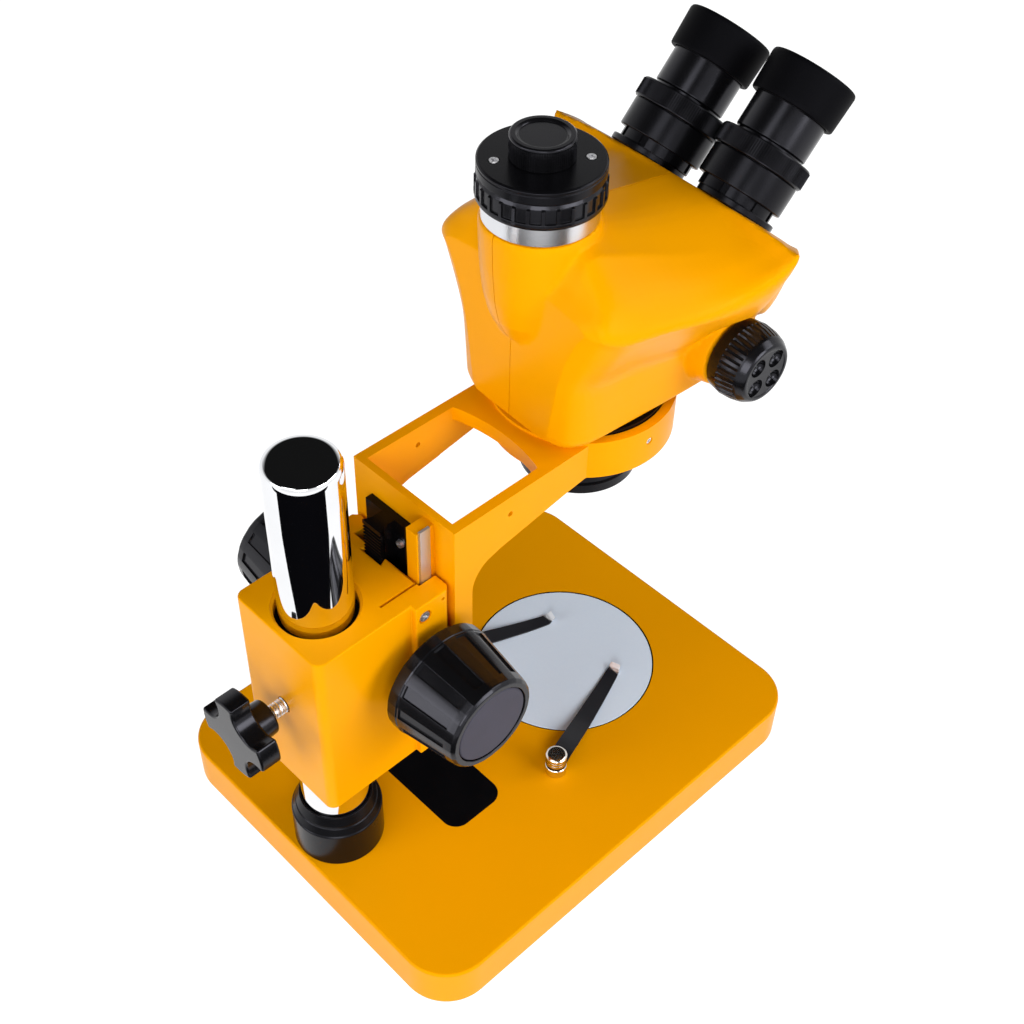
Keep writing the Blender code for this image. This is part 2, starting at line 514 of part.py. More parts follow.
def spline(rows, fine):
    """Catmull-Rom through a list of equal-length value rows, with reflected ends."""
    out = []
    for k in range(len(rows) - 1):
        p1, p2 = rows[k], rows[k + 1]
        p0 = rows[k - 1] if k else [2 * a - b for a, b in zip(p1, p2)]
        p3 = rows[k + 2] if k + 2 < len(rows) else [2 * b - a for a, b in zip(p1, p2)]
        for j in range(fine):
            t = j / fine
            out.append([0.5 * (2 * b + (c - a) * t + (2 * a - 5 * b + 4 * c - d) * t * t
                               + (3 * b - a - 3 * c + d) * t ** 3) for a, b, c, d in zip(p0, p1, p2, p3)])
    out.append(list(rows[-1]))
    return out


def section_points(width, floor, upper, fine):
    """One half section: flat floor, rounded lower edge, wing up to its crease, then the top to the centre."""
    low = [(0.0, floor), (width * 0.6, floor), (width - 3.0, floor + 0.3), (width, floor + 4.0)]
    wing = spline([low[-1]] + upper[:CREASE_AT + 1], fine)
    top = spline(upper[CREASE_AT:], fine)[1:]
    return low[:-1] + [tuple(p) for p in wing + top]


def head_half(fine=2):
    """Right half of the housing, flat on the parting plane."""
    rows = []
    for y, width, floor, upper in STATIONS:
        flat = [y]
        for point in section_points(width, floor, upper, fine):
            flat += point
        rows.append(flat)
    rear = spline(rows[:RIDGE_AT + 1], 1)
    front = spline(rows[RIDGE_AT:], 1)[1:]
    bm = bmesh.new()
    loops = []
    for flat in rear + front:
        y = flat[0]
        pts = list(zip(flat[1::2], flat[2::2]))
        loops.append([bm.verts.new((max(x, 0.0) + 0.1, y, z)) for x, z in pts])
    for a, b in zip(loops, loops[1:]):
        for k in range(len(a)):
            j = (k + 1) % len(a)
            bm.faces.new((a[k], a[j], b[j], b[k]))
    bm.faces.new(loops[0][::-1])
    bm.faces.new(loops[-1])
    bmesh.ops.recalc_face_normals(bm, faces=bm.faces)
    return bm


def half_round(profile, steps=14):
    """Half of a revolved solid on the +X side, closed on the parting plane."""
    bm = bmesh.new()
    rings = []
    for r, z in profile:
        ring = [bm.verts.new((r * math.sin(math.pi * k / steps), -r * math.cos(math.pi * k / steps), z))
                for k in range(steps + 1)]
        rings.append(ring)
    for low, high in zip(rings, rings[1:]):
        for k in range(steps):
            bm.faces.new((low[k], low[k + 1], high[k + 1], high[k]))
        bm.faces.new((low[steps], low[0], high[0], high[steps]))
    bm.faces.new(rings[0][::-1])
    bm.faces.new(rings[-1])
    bmesh.ops.translate(bm, verts=bm.verts, vec=(0.1, 0, 0))
    bmesh.ops.recalc_face_normals(bm, faces=bm.faces)
    return bm


NECK = [(15.0, 263.5), (17.6, 268.0), (20.4, 274.0), (22.6, 284.0), (23.9, 298.0), (24.4, 312.0), (24.4, 315.6),
        (23.9, 316.8)]
inner_low = cutter("cavity_low", extrude(round_rect(71, 82, 9, 4, 0, -2), 215, 262), HEAD)
inner_high = cutter("cavity_high", extrude([(-46, -38), (46, -38), (38, 30), (-38, 30)], 260, 288), HEAD)
port_bore = cutter("port_bore", extrude(circle(0, PORT_Y, 20.3, 28), 280, 330), HEAD)
zoom_bore = cutter("zoom_bore", extrude(circle(ZOOM_Y, ZOOM_Z, 4.4, 16), -60, 60, axis="X"), HEAD)
eye_bores = {s: cutter("eye_bore_" + n, revolve([(0, -66), (13.0, -66), (13.0, -20), (0, -20)], 24), HEAD,
                       (s * (EYE_X + EYE_PIVOT), EYE_Y, EYE_Z), (EYE_TILT, 0, 0))
             for s, n in ((1, "right"), (-1, "left"))}
for side, sx in (("right", 1), ("left", -1)):
    skin, neck = head_half(), half_round(NECK)
    boss = revolve([(0, 34), (19.5, 34), (18.6, 41), (17.4, 46), (16.8, 48.6), (16.2, 49.4), (0, 49.4)], 24)
    if sx < 0:
        skin, neck = mirrored(skin), mirrored(neck)
    housing = place("head_housing_" + side, skin, "yellow_paint", HEAD, angle=40)
    boolean(housing, cutter("neck_" + side, neck, HEAD, (0, PORT_Y, 0)), "UNION")
    boolean(housing, cutter("zoom_boss_" + side, boss, HEAD, (0, ZOOM_Y, ZOOM_Z), (0, math.radians(90 * sx), 0)),
            "UNION")
    for tool in (inner_low, inner_high, port_bore, zoom_bore, eye_bores[sx]):
        boolean(housing, tool)

# Objective mount below the head, seated in the arm's ring
OBJECTIVE = [(25.0, 219.2), (37.8, 219.2), (37.8, 200.0), (29.0, 200.0), (27.2, 197.5), (27.2, 180.2),
             (26.3, 179.2), (27.3, 178.2), (27.3, 173.6), (26.8, 173.0), (23.6, 173.0), (25.0, 176.5)]
place("objective_barrel", revolve(OBJECTIVE, 28), "black_satin", HEAD, (0, 0, 0))
place("front_lens", revolve([(0, 176.6), (12, 176.9), (24.1, 178.0), (24.1, 183.0), (0, 183.0)], 24), "glass", HEAD)

# Photo port: bright collar, notched turning ring, top disc with two screws, dust cap
place("port_collar", revolve([(17.0, 292.0), (20.0, 292.0), (20.0, 317.1), (23.5, 317.1), (23.5, 325.4), (20.0, 325.4),
                              (20.0, 336.2), (17.0, 336.2)], 28), "aluminium", HEAD, (0, PORT_Y, 0))


def notched_ring():
    """Grip ring with broad square notches round its lower half."""
    profile = [(20.3, 325.8, 0), (25.4, 325.8, 0), (26.0, 326.6, 0), (26.0, 328.3, 1), (26.0, 334.2, 1),
               (25.6, 336.2, 0), (20.3, 336.2, 0)]
    notches, per = 16, 4
    bm = bmesh.new()
    rings = []
    for r, z, grip in profile:
        ring = []
        for k in range(notches * per):
            a = 2 * math.pi * k / (notches * per)
            cut = 0.9 if grip and k % per in (0, 1) else 0.0
            ring.append(bm.verts.new(((r - cut) * math.cos(a), (r - cut) * math.sin(a), z)))
        rings.append(ring)
    rings.append(rings[0])
    for low, high in zip(rings, rings[1:]):
        for k in range(len(low)):
            j = (k + 1) % len(low)
            bm.faces.new((low[k], low[j], high[j], high[k]))
    return bm


place("port_ring", notched_ring(), "black_gloss", HEAD, (0, PORT_Y, 0))
disc = place("port_disc", revolve([(12.0, 336.5), (24.8, 336.5), (25.3, 337.0), (25.3, 341.8), (24.7, 342.4),
                                   (12.0, 342.4)], 32),
             "black_gloss", HEAD, (0, PORT_Y, 0))
seats = bmesh.new()
SCREW_AT = [(18.6 * math.cos(math.radians(a)), PORT_Y + 18.6 * math.sin(math.radians(a))) for a in (60, 230)]
for cx, cy in SCREW_AT:
    extrude(circle(cx, cy, 2.3, 14), 340.8, 345, bm=seats)
boolean(disc, cutter("screw_seats", seats, HEAD))
for tag, (cx, cy) in zip(("a", "b"), SCREW_AT):
    place("port_screw_" + tag, revolve([(0, 340.9), (2.0, 340.9), (2.0, 342.4), (1.4, 342.9), (0, 343.0)], 14),
          "steel", HEAD, (cx, cy, 0))
place("dust_cap", revolve([(0, 330.5), (11.7, 330.5), (11.7, 342.6), (13.0, 342.6), (13.0, 351.6), (12.3, 352.5),
                           (10.4, 352.5), (9.7, 352.0), (0, 352.0)], 24), "black_gloss", HEAD,
      (0, PORT_Y, 0))

# Zoom: cross shaft, two barrel knobs and the two lens carriages inside
place("zoom_shaft", revolve([(0, -62), (4.0, -62), (4.0, 62), (0, 62)], 16), "steel", HEAD, (0, ZOOM_Y, ZOOM_Z),
      ALONG_X)
ZOOM_KNOB = [(4.1, 0.0), (16.4, 0.0), (17.5, 6.0), (17.0, 11.0), (15.6, 15.6), (13.6, 18.6), (12.6, 19.1), (0, 19.1),
             (0, 12.6), (4.1, 12.6)]
SCOOP = [(0, 17.6), (0.9, 17.4), (1.5, 16.4), (3.2, 16.4), (4.3, 19.6), (0, 19.6)]
SCOOP_AT = 7.5


def finger_scoops():
    """Four scoops, each with a low boss in its middle, that leave a raised cross between them."""
    bm = bmesh.new()
    for k in range(4):
        before = set(bm.verts)
        revolve(SCOOP, 10, bm=bm)
        new = [v for v in bm.verts if v not in before]
        a = math.radians(45 + 90 * k)
        bmesh.ops.translate(bm, verts=new, vec=(SCOOP_AT * math.cos(a), SCOOP_AT * math.sin(a), 0))
    return bm


for side, sx in (("right", 1), ("left", -1)):
    at = (sx * 50.0, ZOOM_Y, ZOOM_Z)
    turn = (0, math.radians(90 * sx), 0)
    knob = place("zoom_knob_" + side, revolve(ZOOM_KNOB, 24), "black_gloss", HEAD, at, turn)
    boolean(knob, cutter("scoops_" + side, finger_scoops(), HEAD, at, turn))
for tag, z in (("lower", 230.0), ("upper", 252.0)):
    plate = place("zoom_carriage_" + tag, extrude(round_rect(64, 40, 6, 3, 0, 8), z, z + 3), "black_satin", HEAD)
    lenses = bmesh.new()
    for sx in (1, -1):
        extrude(circle(sx * 14, 8, 9, 20), z - 1, z + 5, bm=lenses)
    boolean(plate, cutter("carriage_holes_" + tag, lenses, HEAD))

# Eyepieces: a mount that swings on the head, focusing ring, ocular, rubber cup and lens
for side, sx in (("right", 1), ("left", -1)):
    eye = EYES[sx]
    tube = revolve([(15.2, -45.9), (17.0, -45.9), (17.0, -39.0), (19.3, -39.0), (19.6, -38.6), (19.6, -26.4),
                    (19.0, -25.9), (17.2, -25.9), (17.2, -17.0), (15.2, -17.0)], 20)
    tube = place("eye_tube_" + side, tube, "black_satin", eye)
    turret = cutter("turret_" + side, revolve([(0, -45.9), (12.7, -45.9), (12.7, -52), (0, -52)], 24), eye,
                    (sx * EYE_PIVOT, 0, 0))
    plate = cutter("turret_plate_" + side, revolve([(0, -46.0), (18.0, -46.0), (18.0, -44.0), (0, -44.0)], 24), eye,
                   (sx * EYE_PIVOT * 0.4, 0, 0))
    boolean(tube, plate, "UNION")
    boolean(tube, turret, "UNION")
    boolean(tube, cutter("light_path_" + side, revolve([(0, -60), (9.0, -60), (9.0, -40), (0, -40)], 20), eye))
    place("diopter_ring_" + side, revolve([(17.5, -25.6), (20.4, -25.6), (20.9, -25.0), (20.9, -17.6), (20.3, -16.9),
                                           (17.5, -16.9)], 24), "black_satin", eye)
    ocular = [(12.6, -37.0), (14.9, -37.0), (14.9, -15.6), (16.0, -15.6), (16.4, -15.1), (16.4, 2.0), (15.0, 2.4),
              (12.6, 2.4)]
    place("ocular_" + side, revolve(ocular, 24), "black_gloss", eye)
    cup = [(16.7, 0.6), (18.6, 0.2), (19.2, 0.8), (19.7, 16.6), (19.2, 18.1), (17.6, 18.3), (16.6, 16.0),
           (13.0, 4.4), (13.0, 2.7), (16.7, 2.7)]
    place("eyecup_" + side, revolve(cup, 28), "black_rubber", eye)
    place("eye_lens_" + side, revolve([(0, -3.0), (12.4, -3.0), (12.4, 0.0), (8.0, 1.0), (0, 1.6)], 24), "glass",
          eye)
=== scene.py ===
"""Looks of the trinocular stereo microscope, laid out as an add-on and run as a script.

Shapes are drawn in millimetres in the stand's, head's or eyepiece's own frame, then put in
the row frame in metres. The user sits on the -Y side; +X is the user's right.
"""
import math

import bmesh
import bpy
from mathutils import Matrix, Vector


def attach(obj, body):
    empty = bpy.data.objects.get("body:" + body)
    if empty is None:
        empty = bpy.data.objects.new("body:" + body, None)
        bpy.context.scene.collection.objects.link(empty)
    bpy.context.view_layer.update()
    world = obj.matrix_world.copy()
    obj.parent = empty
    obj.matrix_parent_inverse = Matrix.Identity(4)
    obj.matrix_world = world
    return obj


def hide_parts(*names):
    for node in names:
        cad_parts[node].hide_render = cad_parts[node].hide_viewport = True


bl_info = {
    "name": "Stereo microscope looks",
    "version": (1, 0, 0),
    "blender": (4, 5, 0),
    "location": "View3D > Sidebar > Microscope",
    "description": "Builds the finished pieces, materials and studio of a trinocular stereo microscope",
    "category": "Object",
}

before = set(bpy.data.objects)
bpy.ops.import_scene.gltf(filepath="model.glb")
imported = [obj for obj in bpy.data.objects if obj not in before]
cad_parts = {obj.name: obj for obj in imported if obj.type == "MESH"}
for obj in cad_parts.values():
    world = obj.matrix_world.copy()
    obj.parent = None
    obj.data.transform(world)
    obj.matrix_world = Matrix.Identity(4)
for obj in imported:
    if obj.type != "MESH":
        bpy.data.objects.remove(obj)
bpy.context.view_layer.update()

# Main places of the CAD, in millimetres in the stand's or the head's frame; angles in degrees
MM = 0.001
Y_SHIFT, FOOT_H = 7.68, 2.5
STAGE_Y, COL_Y, DECK_Z = -51.5, 101.9, 24.4
FOOT_X, FOOT_Y = 81, 106
CLIP_X, CLIP_Y, CLIP_AIM, LEAF_Z = 48.3, 2.7, 19.5, 30.6
SHAFT_Y, SHAFT_Z, CLAMP_Z = 71.0, 146.7, 137.9
GIB_Y, GIB_Z = 69.6, 177.4
PORT_Y, ZOOM_Y, ZOOM_Z = 29.5, -39.4, 244.0
EYE_X, EYE_Y, EYE_Z, EYE_PIVOT = 23.5, -87.0, 329.6, 5.5
HEAD_TURN, EYE_TILT = 3.0, 42.2
SIDES = ((1, "right"), (-1, "left"))

# Camera solved from the photo, in the stand's frame: place, then azimuth, downward tilt and roll
CAMERA_AT, CAMERA_AIM = (-345.74, 336.78, 649.51), (-45.063, 44.843, 1.630)


def at(x, y, z):
    return Matrix.Translation((x, y, z))


def turned(degrees, axis):
    return Matrix.Rotation(math.radians(degrees), 4, axis)


def facing(side):
    """Turns +Z to +X or -X."""
    return turned(90 * side, "Y")


REARWARD = turned(-90, "X")
STAND = at(0, Y_SHIFT, FOOT_H)
HEAD = STAND @ at(0, STAGE_Y, 0) @ turned(-HEAD_TURN, "Z")
EYES = {side: HEAD @ at(side * EYE_X, EYE_Y, EYE_Z) @ turned(EYE_TILT, "X") for side in (1, -1)}


# Node trees, with their maths written as expressions
class Sock:
    """One output socket; operators on it add Math nodes."""

    def __init__(self, net, socket):
        self.net, self.socket = net, socket

    def math(self, operation, *values):
        return self.net.node("ShaderNodeMath", {"operation": operation}, dict(enumerate(values)))

    def __add__(self, other):
        return self.math("ADD", self, other)

    def __sub__(self, other):
        return self.math("SUBTRACT", self, other)

    def __rsub__(self, other):
        return self.math("SUBTRACT", other, self)

    def __mul__(self, other):
        return self.math("MULTIPLY", self, other)

    def __truediv__(self, other):
        return self.math("DIVIDE", self, other)

    __radd__, __rmul__ = __add__, __mul__

    def sine(self):
        return self.math("SINE", self)

    def cosine(self):
        return self.math("COSINE", self)

    def larger(self, other):
        return self.math("MAXIMUM", self, other)

    def ramp(self, low, high, start=0.0, end=1.0):
        """Goes from start to end while this goes from low to high."""
        return self.net.node("ShaderNodeMapRange", inputs={
            "Value": self, "From Min": low, "From Max": high, "To Min": start, "To Max": end})


class Net:
    """A node tree; an input that is given a socket is linked, and any other is set."""

    def __init__(self, tree):
        self.tree = tree

    def fill(self, node, socket, value):
        target = node.inputs[socket]
        if isinstance(value, Sock):
            self.tree.links.new(value.socket, target)
        elif isinstance(value, tuple) and len(value) == 3 and target.type == "RGBA":
            target.default_value = (*value, 1.0)
        else:
            target.default_value = value

    def node(self, kind, settings=None, inputs=None, out=0):
        node = self.tree.nodes.new(kind)
        for key, value in (settings or {}).items():
            setattr(node, key, value)
        for socket, value in (inputs or {}).items():
            self.fill(node, socket, value)
        return Sock(self, node.outputs[out])

    def coordinates(self, kind):
        return self.node("ShaderNodeTexCoord", out=kind)

    def part(self, vector, letter):
        return self.node("ShaderNodeSeparateXYZ", inputs={"Vector": vector}, out=letter)


class Paint(Net):
    """A node material round one Principled shader."""

    def __init__(self, name, rough, metal=0.0, colour=None, **fixed):
        self.mat = bpy.data.materials.new(name)
        self.mat.use_nodes = True
        super().__init__(self.mat.node_tree)
        self.shader = self.tree.nodes["Principled BSDF"]
        self.set("Roughness", rough)
        self.set("Metallic", metal)
        if colour:
            self.set("Base Color", colour)
        for socket, value in fixed.items():
            self.set(socket.replace("_", " "), value)

    def set(self, socket, value):
        self.fill(self.shader, socket, value)

    def noise(self, size_mm, detail, scale=(1, 1, 1)):
        place = self.node("ShaderNodeMapping", inputs={"Vector": self.coordinates("Object"), "Scale": scale})
        return self.node("ShaderNodeTexNoise", inputs={"Vector": place, "Scale": 1 / (size_mm * MM),
                                                       "Detail": detail})

    def mix(self, factor, first, second):
        return self.node("ShaderNodeMix", {"data_type": "RGBA"}, {0: factor, 6: first, 7: second}, out=2)

    def bump(self, height, distance_mm, strength):
        self.set("Normal", self.node("ShaderNodeBump", inputs={"Height": height, "Strength": strength,
                                                               "Distance": distance_mm * MM}))


def linked(name, data):
    """A new object in the scene."""
    obj = bpy.data.objects.new(name, data)
    bpy.context.scene.collection.objects.link(obj)
    return obj


def baked(obj, tools=()):
    """The mesh that an object's modifiers give; the object and its tools go."""
    deps = bpy.context.evaluated_depsgraph_get()
    mesh = bpy.data.meshes.new_from_object(obj.evaluated_get(deps), depsgraph=deps)
    for used in (obj, *tools):
        bpy.data.objects.remove(used, do_unlink=True)
    return mesh


PAINTS = {}


def tint(colour, gain):
    return tuple(c * gain for c in colour)


def enamel(colour, gloss):
    """Powder-coated casting: fine orange peel, faint cloudiness of tone and sheen."""
    paint = Paint("amber_enamel", gloss, Specular_IOR_Level=0.10, Specular_Tint=(1.0, 0.74, 0.15))
    cloud = paint.noise(60, 2)
    paint.set("Base Color", paint.mix(cloud, tint(colour, 0.96), tint(colour, 1.03)))
    paint.set("Roughness", gloss - 0.05 + 0.10 * paint.noise(9, 3))
    paint.bump(paint.noise(1.1, 2) + 0.5 * paint.noise(0.35, 1), 0.012, 0.5)
    return paint.mat


def moulded_black(name, colour, rough, shine, grain_mm, lift):
    """Moulded or anodised black: fine grain, handling smears in the sheen."""
    paint = Paint(name, rough, Specular_IOR_Level=shine, Specular_Tint=(0.86, 0.86, 1.0))
    grain = paint.noise(grain_mm, 2)
    smear = paint.noise(14, 3)
    paint.set("Base Color", paint.mix(smear, colour, tint(colour, 1.5)))
    paint.set("Roughness", rough - 0.05 + 0.12 * smear)
    paint.bump(grain, lift, 0.5)
    return paint.mat


def polished(name, colour, rough, streak=(1, 1, 1), streak_mm=0.25, lift=0.004):
    """Bare metal: tool marks along one direction and slight staining."""
    paint = Paint(name, rough, 1.0)
    stain = paint.noise(12, 3)
    lines = paint.noise(streak_mm, 2, streak)
    paint.set("Base Color", paint.mix(stain, tint(colour, 0.92), colour))
    paint.set("Roughness", rough * 0.8 + rough * 0.5 * lines)
    paint.bump(lines, lift, 0.4)
    return paint.mat


def spring_steel(tip_from, tip_to):
    """Blackened leaf, made bright bare metal along Y where its tip turns up; this bright band is a painted
    highlight on the tip.
    """
    paint = Paint("blackened_spring", 0.30)
    # Painted highlight: a band of bright bare metal on the tip, placed along Y
    tip = paint.part(paint.coordinates("Object"), "Y").ramp(tip_from, tip_to)
    paint.set("Base Color", paint.mix(tip, (0.012, 0.012, 0.016), (0.80, 0.81, 0.85)))
    paint.set("Metallic", tip)
    paint.set("Roughness", 0.26 + 0.10 * paint.noise(6, 2))
    paint.bump(paint.noise(0.5, 2), 0.006, 0.5)
    return paint.mat


def stage_white():
    paint = Paint("stage_white", 0.38)
    # White plastic plate with random fine tone; the bluish cast of both colours is a painted reflection of
    # blue sky in its satin sheen
    paint.set("Base Color", paint.mix(paint.noise(1.6, 3), (0.74, 0.84, 0.98), (0.78, 0.88, 1.0)))
    paint.set("Roughness", 0.32 + 0.12 * paint.noise(20, 2))
    paint.bump(paint.noise(0.4, 2), 0.006, 0.4)
    return paint.mat


def coated_glass():
    paint = Paint("coated_glass", 0.02, colour=(0.80, 0.86, 0.95), IOR=1.52, Transmission_Weight=1.0)
    paint.set("Roughness", 0.015 + 0.02 * paint.noise(8, 2))
    return paint.mat


def make_paints(sizes):
    PAINTS.update(
        enamel=enamel(tuple(sizes.enamel_colour), sizes.enamel_roughness),
        gloss=moulded_black("moulded_black", (0.003, 0.003, 0.0035), 0.20, 0.28, 0.9, 0.006),
        satin=moulded_black("anodised_black", (0.0025, 0.0025, 0.003), 0.24, 0.16, 0.3, 0.006),
        rubber=moulded_black("eyecup_rubber", (0.002, 0.002, 0.0025), 0.50, 0.03, 0.35, 0.02),
        cap_grey=moulded_black("knob_end_grey", (0.040, 0.038, 0.052), 0.50, 0.15, 0.30, 0.03),
        label=moulded_black("bare_label", (0.002, 0.002, 0.0025), 0.35, 0.05, 2.0, 0.002),
        # Y values, in metres, of the leaf tips' bright band, a painted highlight
        leaf=spring_steel(-0.0564, -0.0570),
        chrome=polished("column_chrome", (0.86, 0.87, 0.89), 0.035, (1, 1, 0.05), 2.0, 0.0004),
        steel=polished("zinc_steel", (0.88, 0.88, 0.90), 0.38),
        strip=polished("ground_strip", (0.66, 0.72, 0.82), 0.40, (6, 6, 0.1), 0.8),
        nickel=polished("nickel_plate", (0.74, 0.70, 0.64), 0.16),
        brass=polished("turned_brass", (0.72, 0.50, 0.18), 0.26),
        collar=polished("turned_aluminium", (0.74, 0.75, 0.78), 0.22, (9, 9, 0.2), 1.0, 0.004),
        stage=stage_white(),
        glass=coated_glass())


# Mesh tools, all in millimetres
def revolve(profile, steps=64):
    """Spin an (r, z) profile round Z; one that misses the axis is closed into a ring."""
    bm = bmesh.new()
    verts = [bm.verts.new((r, 0, z)) for r, z in profile]
    pairs = list(zip(verts, verts[1:]))
    if profile[0][0] > 1e-6 or profile[-1][0] > 1e-6:
        pairs.append((verts[-1], verts[0]))
    edges = [bm.edges.new(pair) for pair in pairs]
    bmesh.ops.spin(bm, geom=verts + edges, cent=(0, 0, 0), axis=(0, 0, 1), angle=2 * math.pi, steps=steps,
                   use_merge=True)
    return tidy(bm)


def tidy(bm):
    bmesh.ops.remove_doubles(bm, verts=bm.verts, dist=1e-4)
    bmesh.ops.recalc_face_normals(bm, faces=bm.faces)
    return bm


def rounded(profile, radius, steps=3):
    """An open profile with its inner corners rounded."""
    out = [profile[0]]
    for before, here, after in zip(profile, profile[1:], profile[2:]):
        a, b, c = Vector(before), Vector(here), Vector(after)
        cut = min(radius, (a - b).length * 0.45, (c - b).length * 0.45)
        p, q = b + (a - b).normalized() * cut, b + (c - b).normalized() * cut
        for k in range(steps + 1):
            t = k / steps
            out.append(tuple(p * (1 - t) ** 2 + b * 2 * t * (1 - t) + q * t * t))
    out.append(profile[-1])
    return out


def extrude(outline, low, high, axis="Z", bm=None):
    """Extrude a closed outline of (u, v) points along one axis between two heights."""
    bm = bm or bmesh.new()
    spots = {"X": lambda u, v, w: (w, u, v), "Y": lambda u, v, w: (u, w, v), "Z": lambda u, v, w: (u, v, w)}
    spot = spots[axis]
    floor = [bm.verts.new(spot(u, v, low)) for u, v in outline]
    face = bm.faces.new(floor)
    grown = bmesh.ops.extrude_face_region(bm, geom=[face])
    new = [g for g in grown["geom"] if isinstance(g, bmesh.types.BMVert)]
    bmesh.ops.translate(bm, verts=new, vec=Vector(spot(0, 0, high)) - Vector(spot(0, 0, low)))
    bmesh.ops.recalc_face_normals(bm, faces=bm.faces)
    return bm


def box(x0, x1, y0, y1, z0, z1):
    return extrude([(x0, y0), (x1, y0), (x1, y1), (x0, y1)], z0, z1)


def polar(r, degrees, cx=0, cy=0):
    """The point at a distance and an angle from a centre."""
    return cx + r * math.cos(math.radians(degrees)), cy + r * math.sin(math.radians(degrees))


def arc(cx, cy, r, a0, a1, n):
    return [polar(r, a0 + (a1 - a0) * k / n, cx, cy) for k in range(n + 1)]


def round_rect(w, l, r, n, cx=0.0, cy=0.0):
    pts = []
    for sx, sy, a0 in ((1, 1, 0), (-1, 1, 90), (-1, -1, 180), (1, -1, 270)):
        pts += arc(cx + sx * (w / 2 - r), cy + sy * (l / 2 - r), r, a0, a0 + 90, n)
    return pts


def circle(cx, cy, r, n=48):
    return arc(cx, cy, r, 0, 360 - 360 / n, n - 1)


def rod(cx, cy, r, low, high, n=48, axis="Z", bm=None):
    return extrude(circle(cx, cy, r, n), low, high, axis, bm)


def drum(r, low, high, steps):
    """A plain disc or plug round Z."""
    return revolve([(0, low), (r, low), (r, high), (0, high)], steps)


def skin(bm, rings, capped=True):
    """Quads between neighbouring rings of vertices, and a face on each end."""
    for low, high in zip(rings, rings[1:]):
        for k in range(len(low)):
            j = (k + 1) % len(low)
            bm.faces.new((low[k], low[j], high[j], high[k]))
    if capped:
        bm.faces.new(rings[0][::-1])
        bm.faces.new(rings[-1])
    return tidy(bm)


class Work:
    """A solid being shaped with modifiers; its result becomes one finished piece."""

    def __init__(self, bm):
        self.tools = []
        self.obj = self.solid(bm)

    def solid(self, bm, matrix=None):
        mesh = bpy.data.meshes.new("work")
        if matrix is not None:
            bmesh.ops.transform(bm, matrix=matrix, verts=bm.verts)
        bm.to_mesh(mesh)
        bm.free()
        return linked("work", mesh)

    def modifier(self, kind, **settings):
        mod = self.obj.modifiers.new(kind.lower(), kind)
        for key, value in settings.items():
            setattr(mod, key, value)
        return self

    def boolean(self, bm, how, matrix):
        self.tools.append(self.solid(bm, matrix))
        return self.modifier("BOOLEAN", operation=how, solver="EXACT", object=self.tools[-1])

    def cut(self, bm, matrix=None):
        return self.boolean(bm, "DIFFERENCE", matrix)

    def add(self, bm, matrix=None):
        return self.boolean(bm, "UNION", matrix)

    def bevel(self, width, segments=3, angle=30.0):
        return self.modifier("BEVEL", width=width, segments=segments, limit_method="ANGLE",
                             angle_limit=math.radians(angle), use_clamp_overlap=True)

    def mesh(self):
        return baked(self.obj, self.tools)


def weigh(mesh):
    """Let the large faces lead the shading across bevels; the faces stay as they are after this."""
    host = linked("host", mesh)
    mod = host.modifiers.new("weigh", "WEIGHTED_NORMAL")
    mod.keep_sharp, mod.weight = True, 60
    return baked(host)


def settle(name, mesh, paint, body, nodes, matrix):
    """Put a finished mesh in the row frame, painted, as a piece that rides on a body."""
    mesh.transform(Matrix.Scale(MM, 4) @ matrix)
    mesh.name = name
    mesh.materials.clear()
    mesh.materials.append(PAINTS[paint])
    obj = linked(name, mesh)
    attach(obj, body)
    if nodes:
        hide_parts(*nodes)
    return obj


def finish(name, shape, paint, body, nodes=(), matrix=STAND, angle=32.0, weighted=True):
    """Turn a shape into a finished piece, smooth but for edges sharper than an angle."""
    work = shape if isinstance(shape, Work) else Work(shape)
    mesh = work.mesh()
    mesh.shade_smooth()
    mesh.set_sharp_from_angle(angle=math.radians(angle))
    if weighted:
        mesh = weigh(mesh)
    return settle(name, mesh, paint, body, nodes, matrix)


def repaint(paint, *nodes):
    """Give kept CAD nodes their finished material."""
    for node in nodes:
        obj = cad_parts[node]
        if not obj.material_slots:
            obj.data.materials.append(PAINTS[paint])
        for slot in obj.material_slots:
            slot.material = PAINTS[paint]


# Geometry node trees
class Tree(Net):
    """A geometry node tree with named inputs, read by name from the tree itself."""

    def __init__(self, name, floats, counts=()):
        super().__init__(bpy.data.node_groups.new(name, "GeometryNodeTree"))
        kinds = [(label, "Int") for label in counts] + [(label, "Float") for label in floats]
        for label, kind in kinds + [("Material", "Material")]:
            self.tree.interface.new_socket(label, in_out="INPUT", socket_type="NodeSocket" + kind)
        self.tree.interface.new_socket("Geometry", in_out="OUTPUT", socket_type="NodeSocketGeometry")
        self.inlet = self.tree.nodes.new("NodeGroupInput")

    def __getitem__(self, label):
        return Sock(self, self.inlet.outputs[label])

    def vector(self, *parts):
        return self.node("ShaderNodeCombineXYZ", inputs=dict(enumerate(parts)))

    def close(self, geometry):
        real = self.node("GeometryNodeRealizeInstances", inputs={0: geometry})
        painted = self.node("GeometryNodeSetMaterial", inputs={0: real, "Material": self["Material"]})
        self.fill(self.tree.nodes.new("NodeGroupOutput"), 0, painted)
        return self.tree


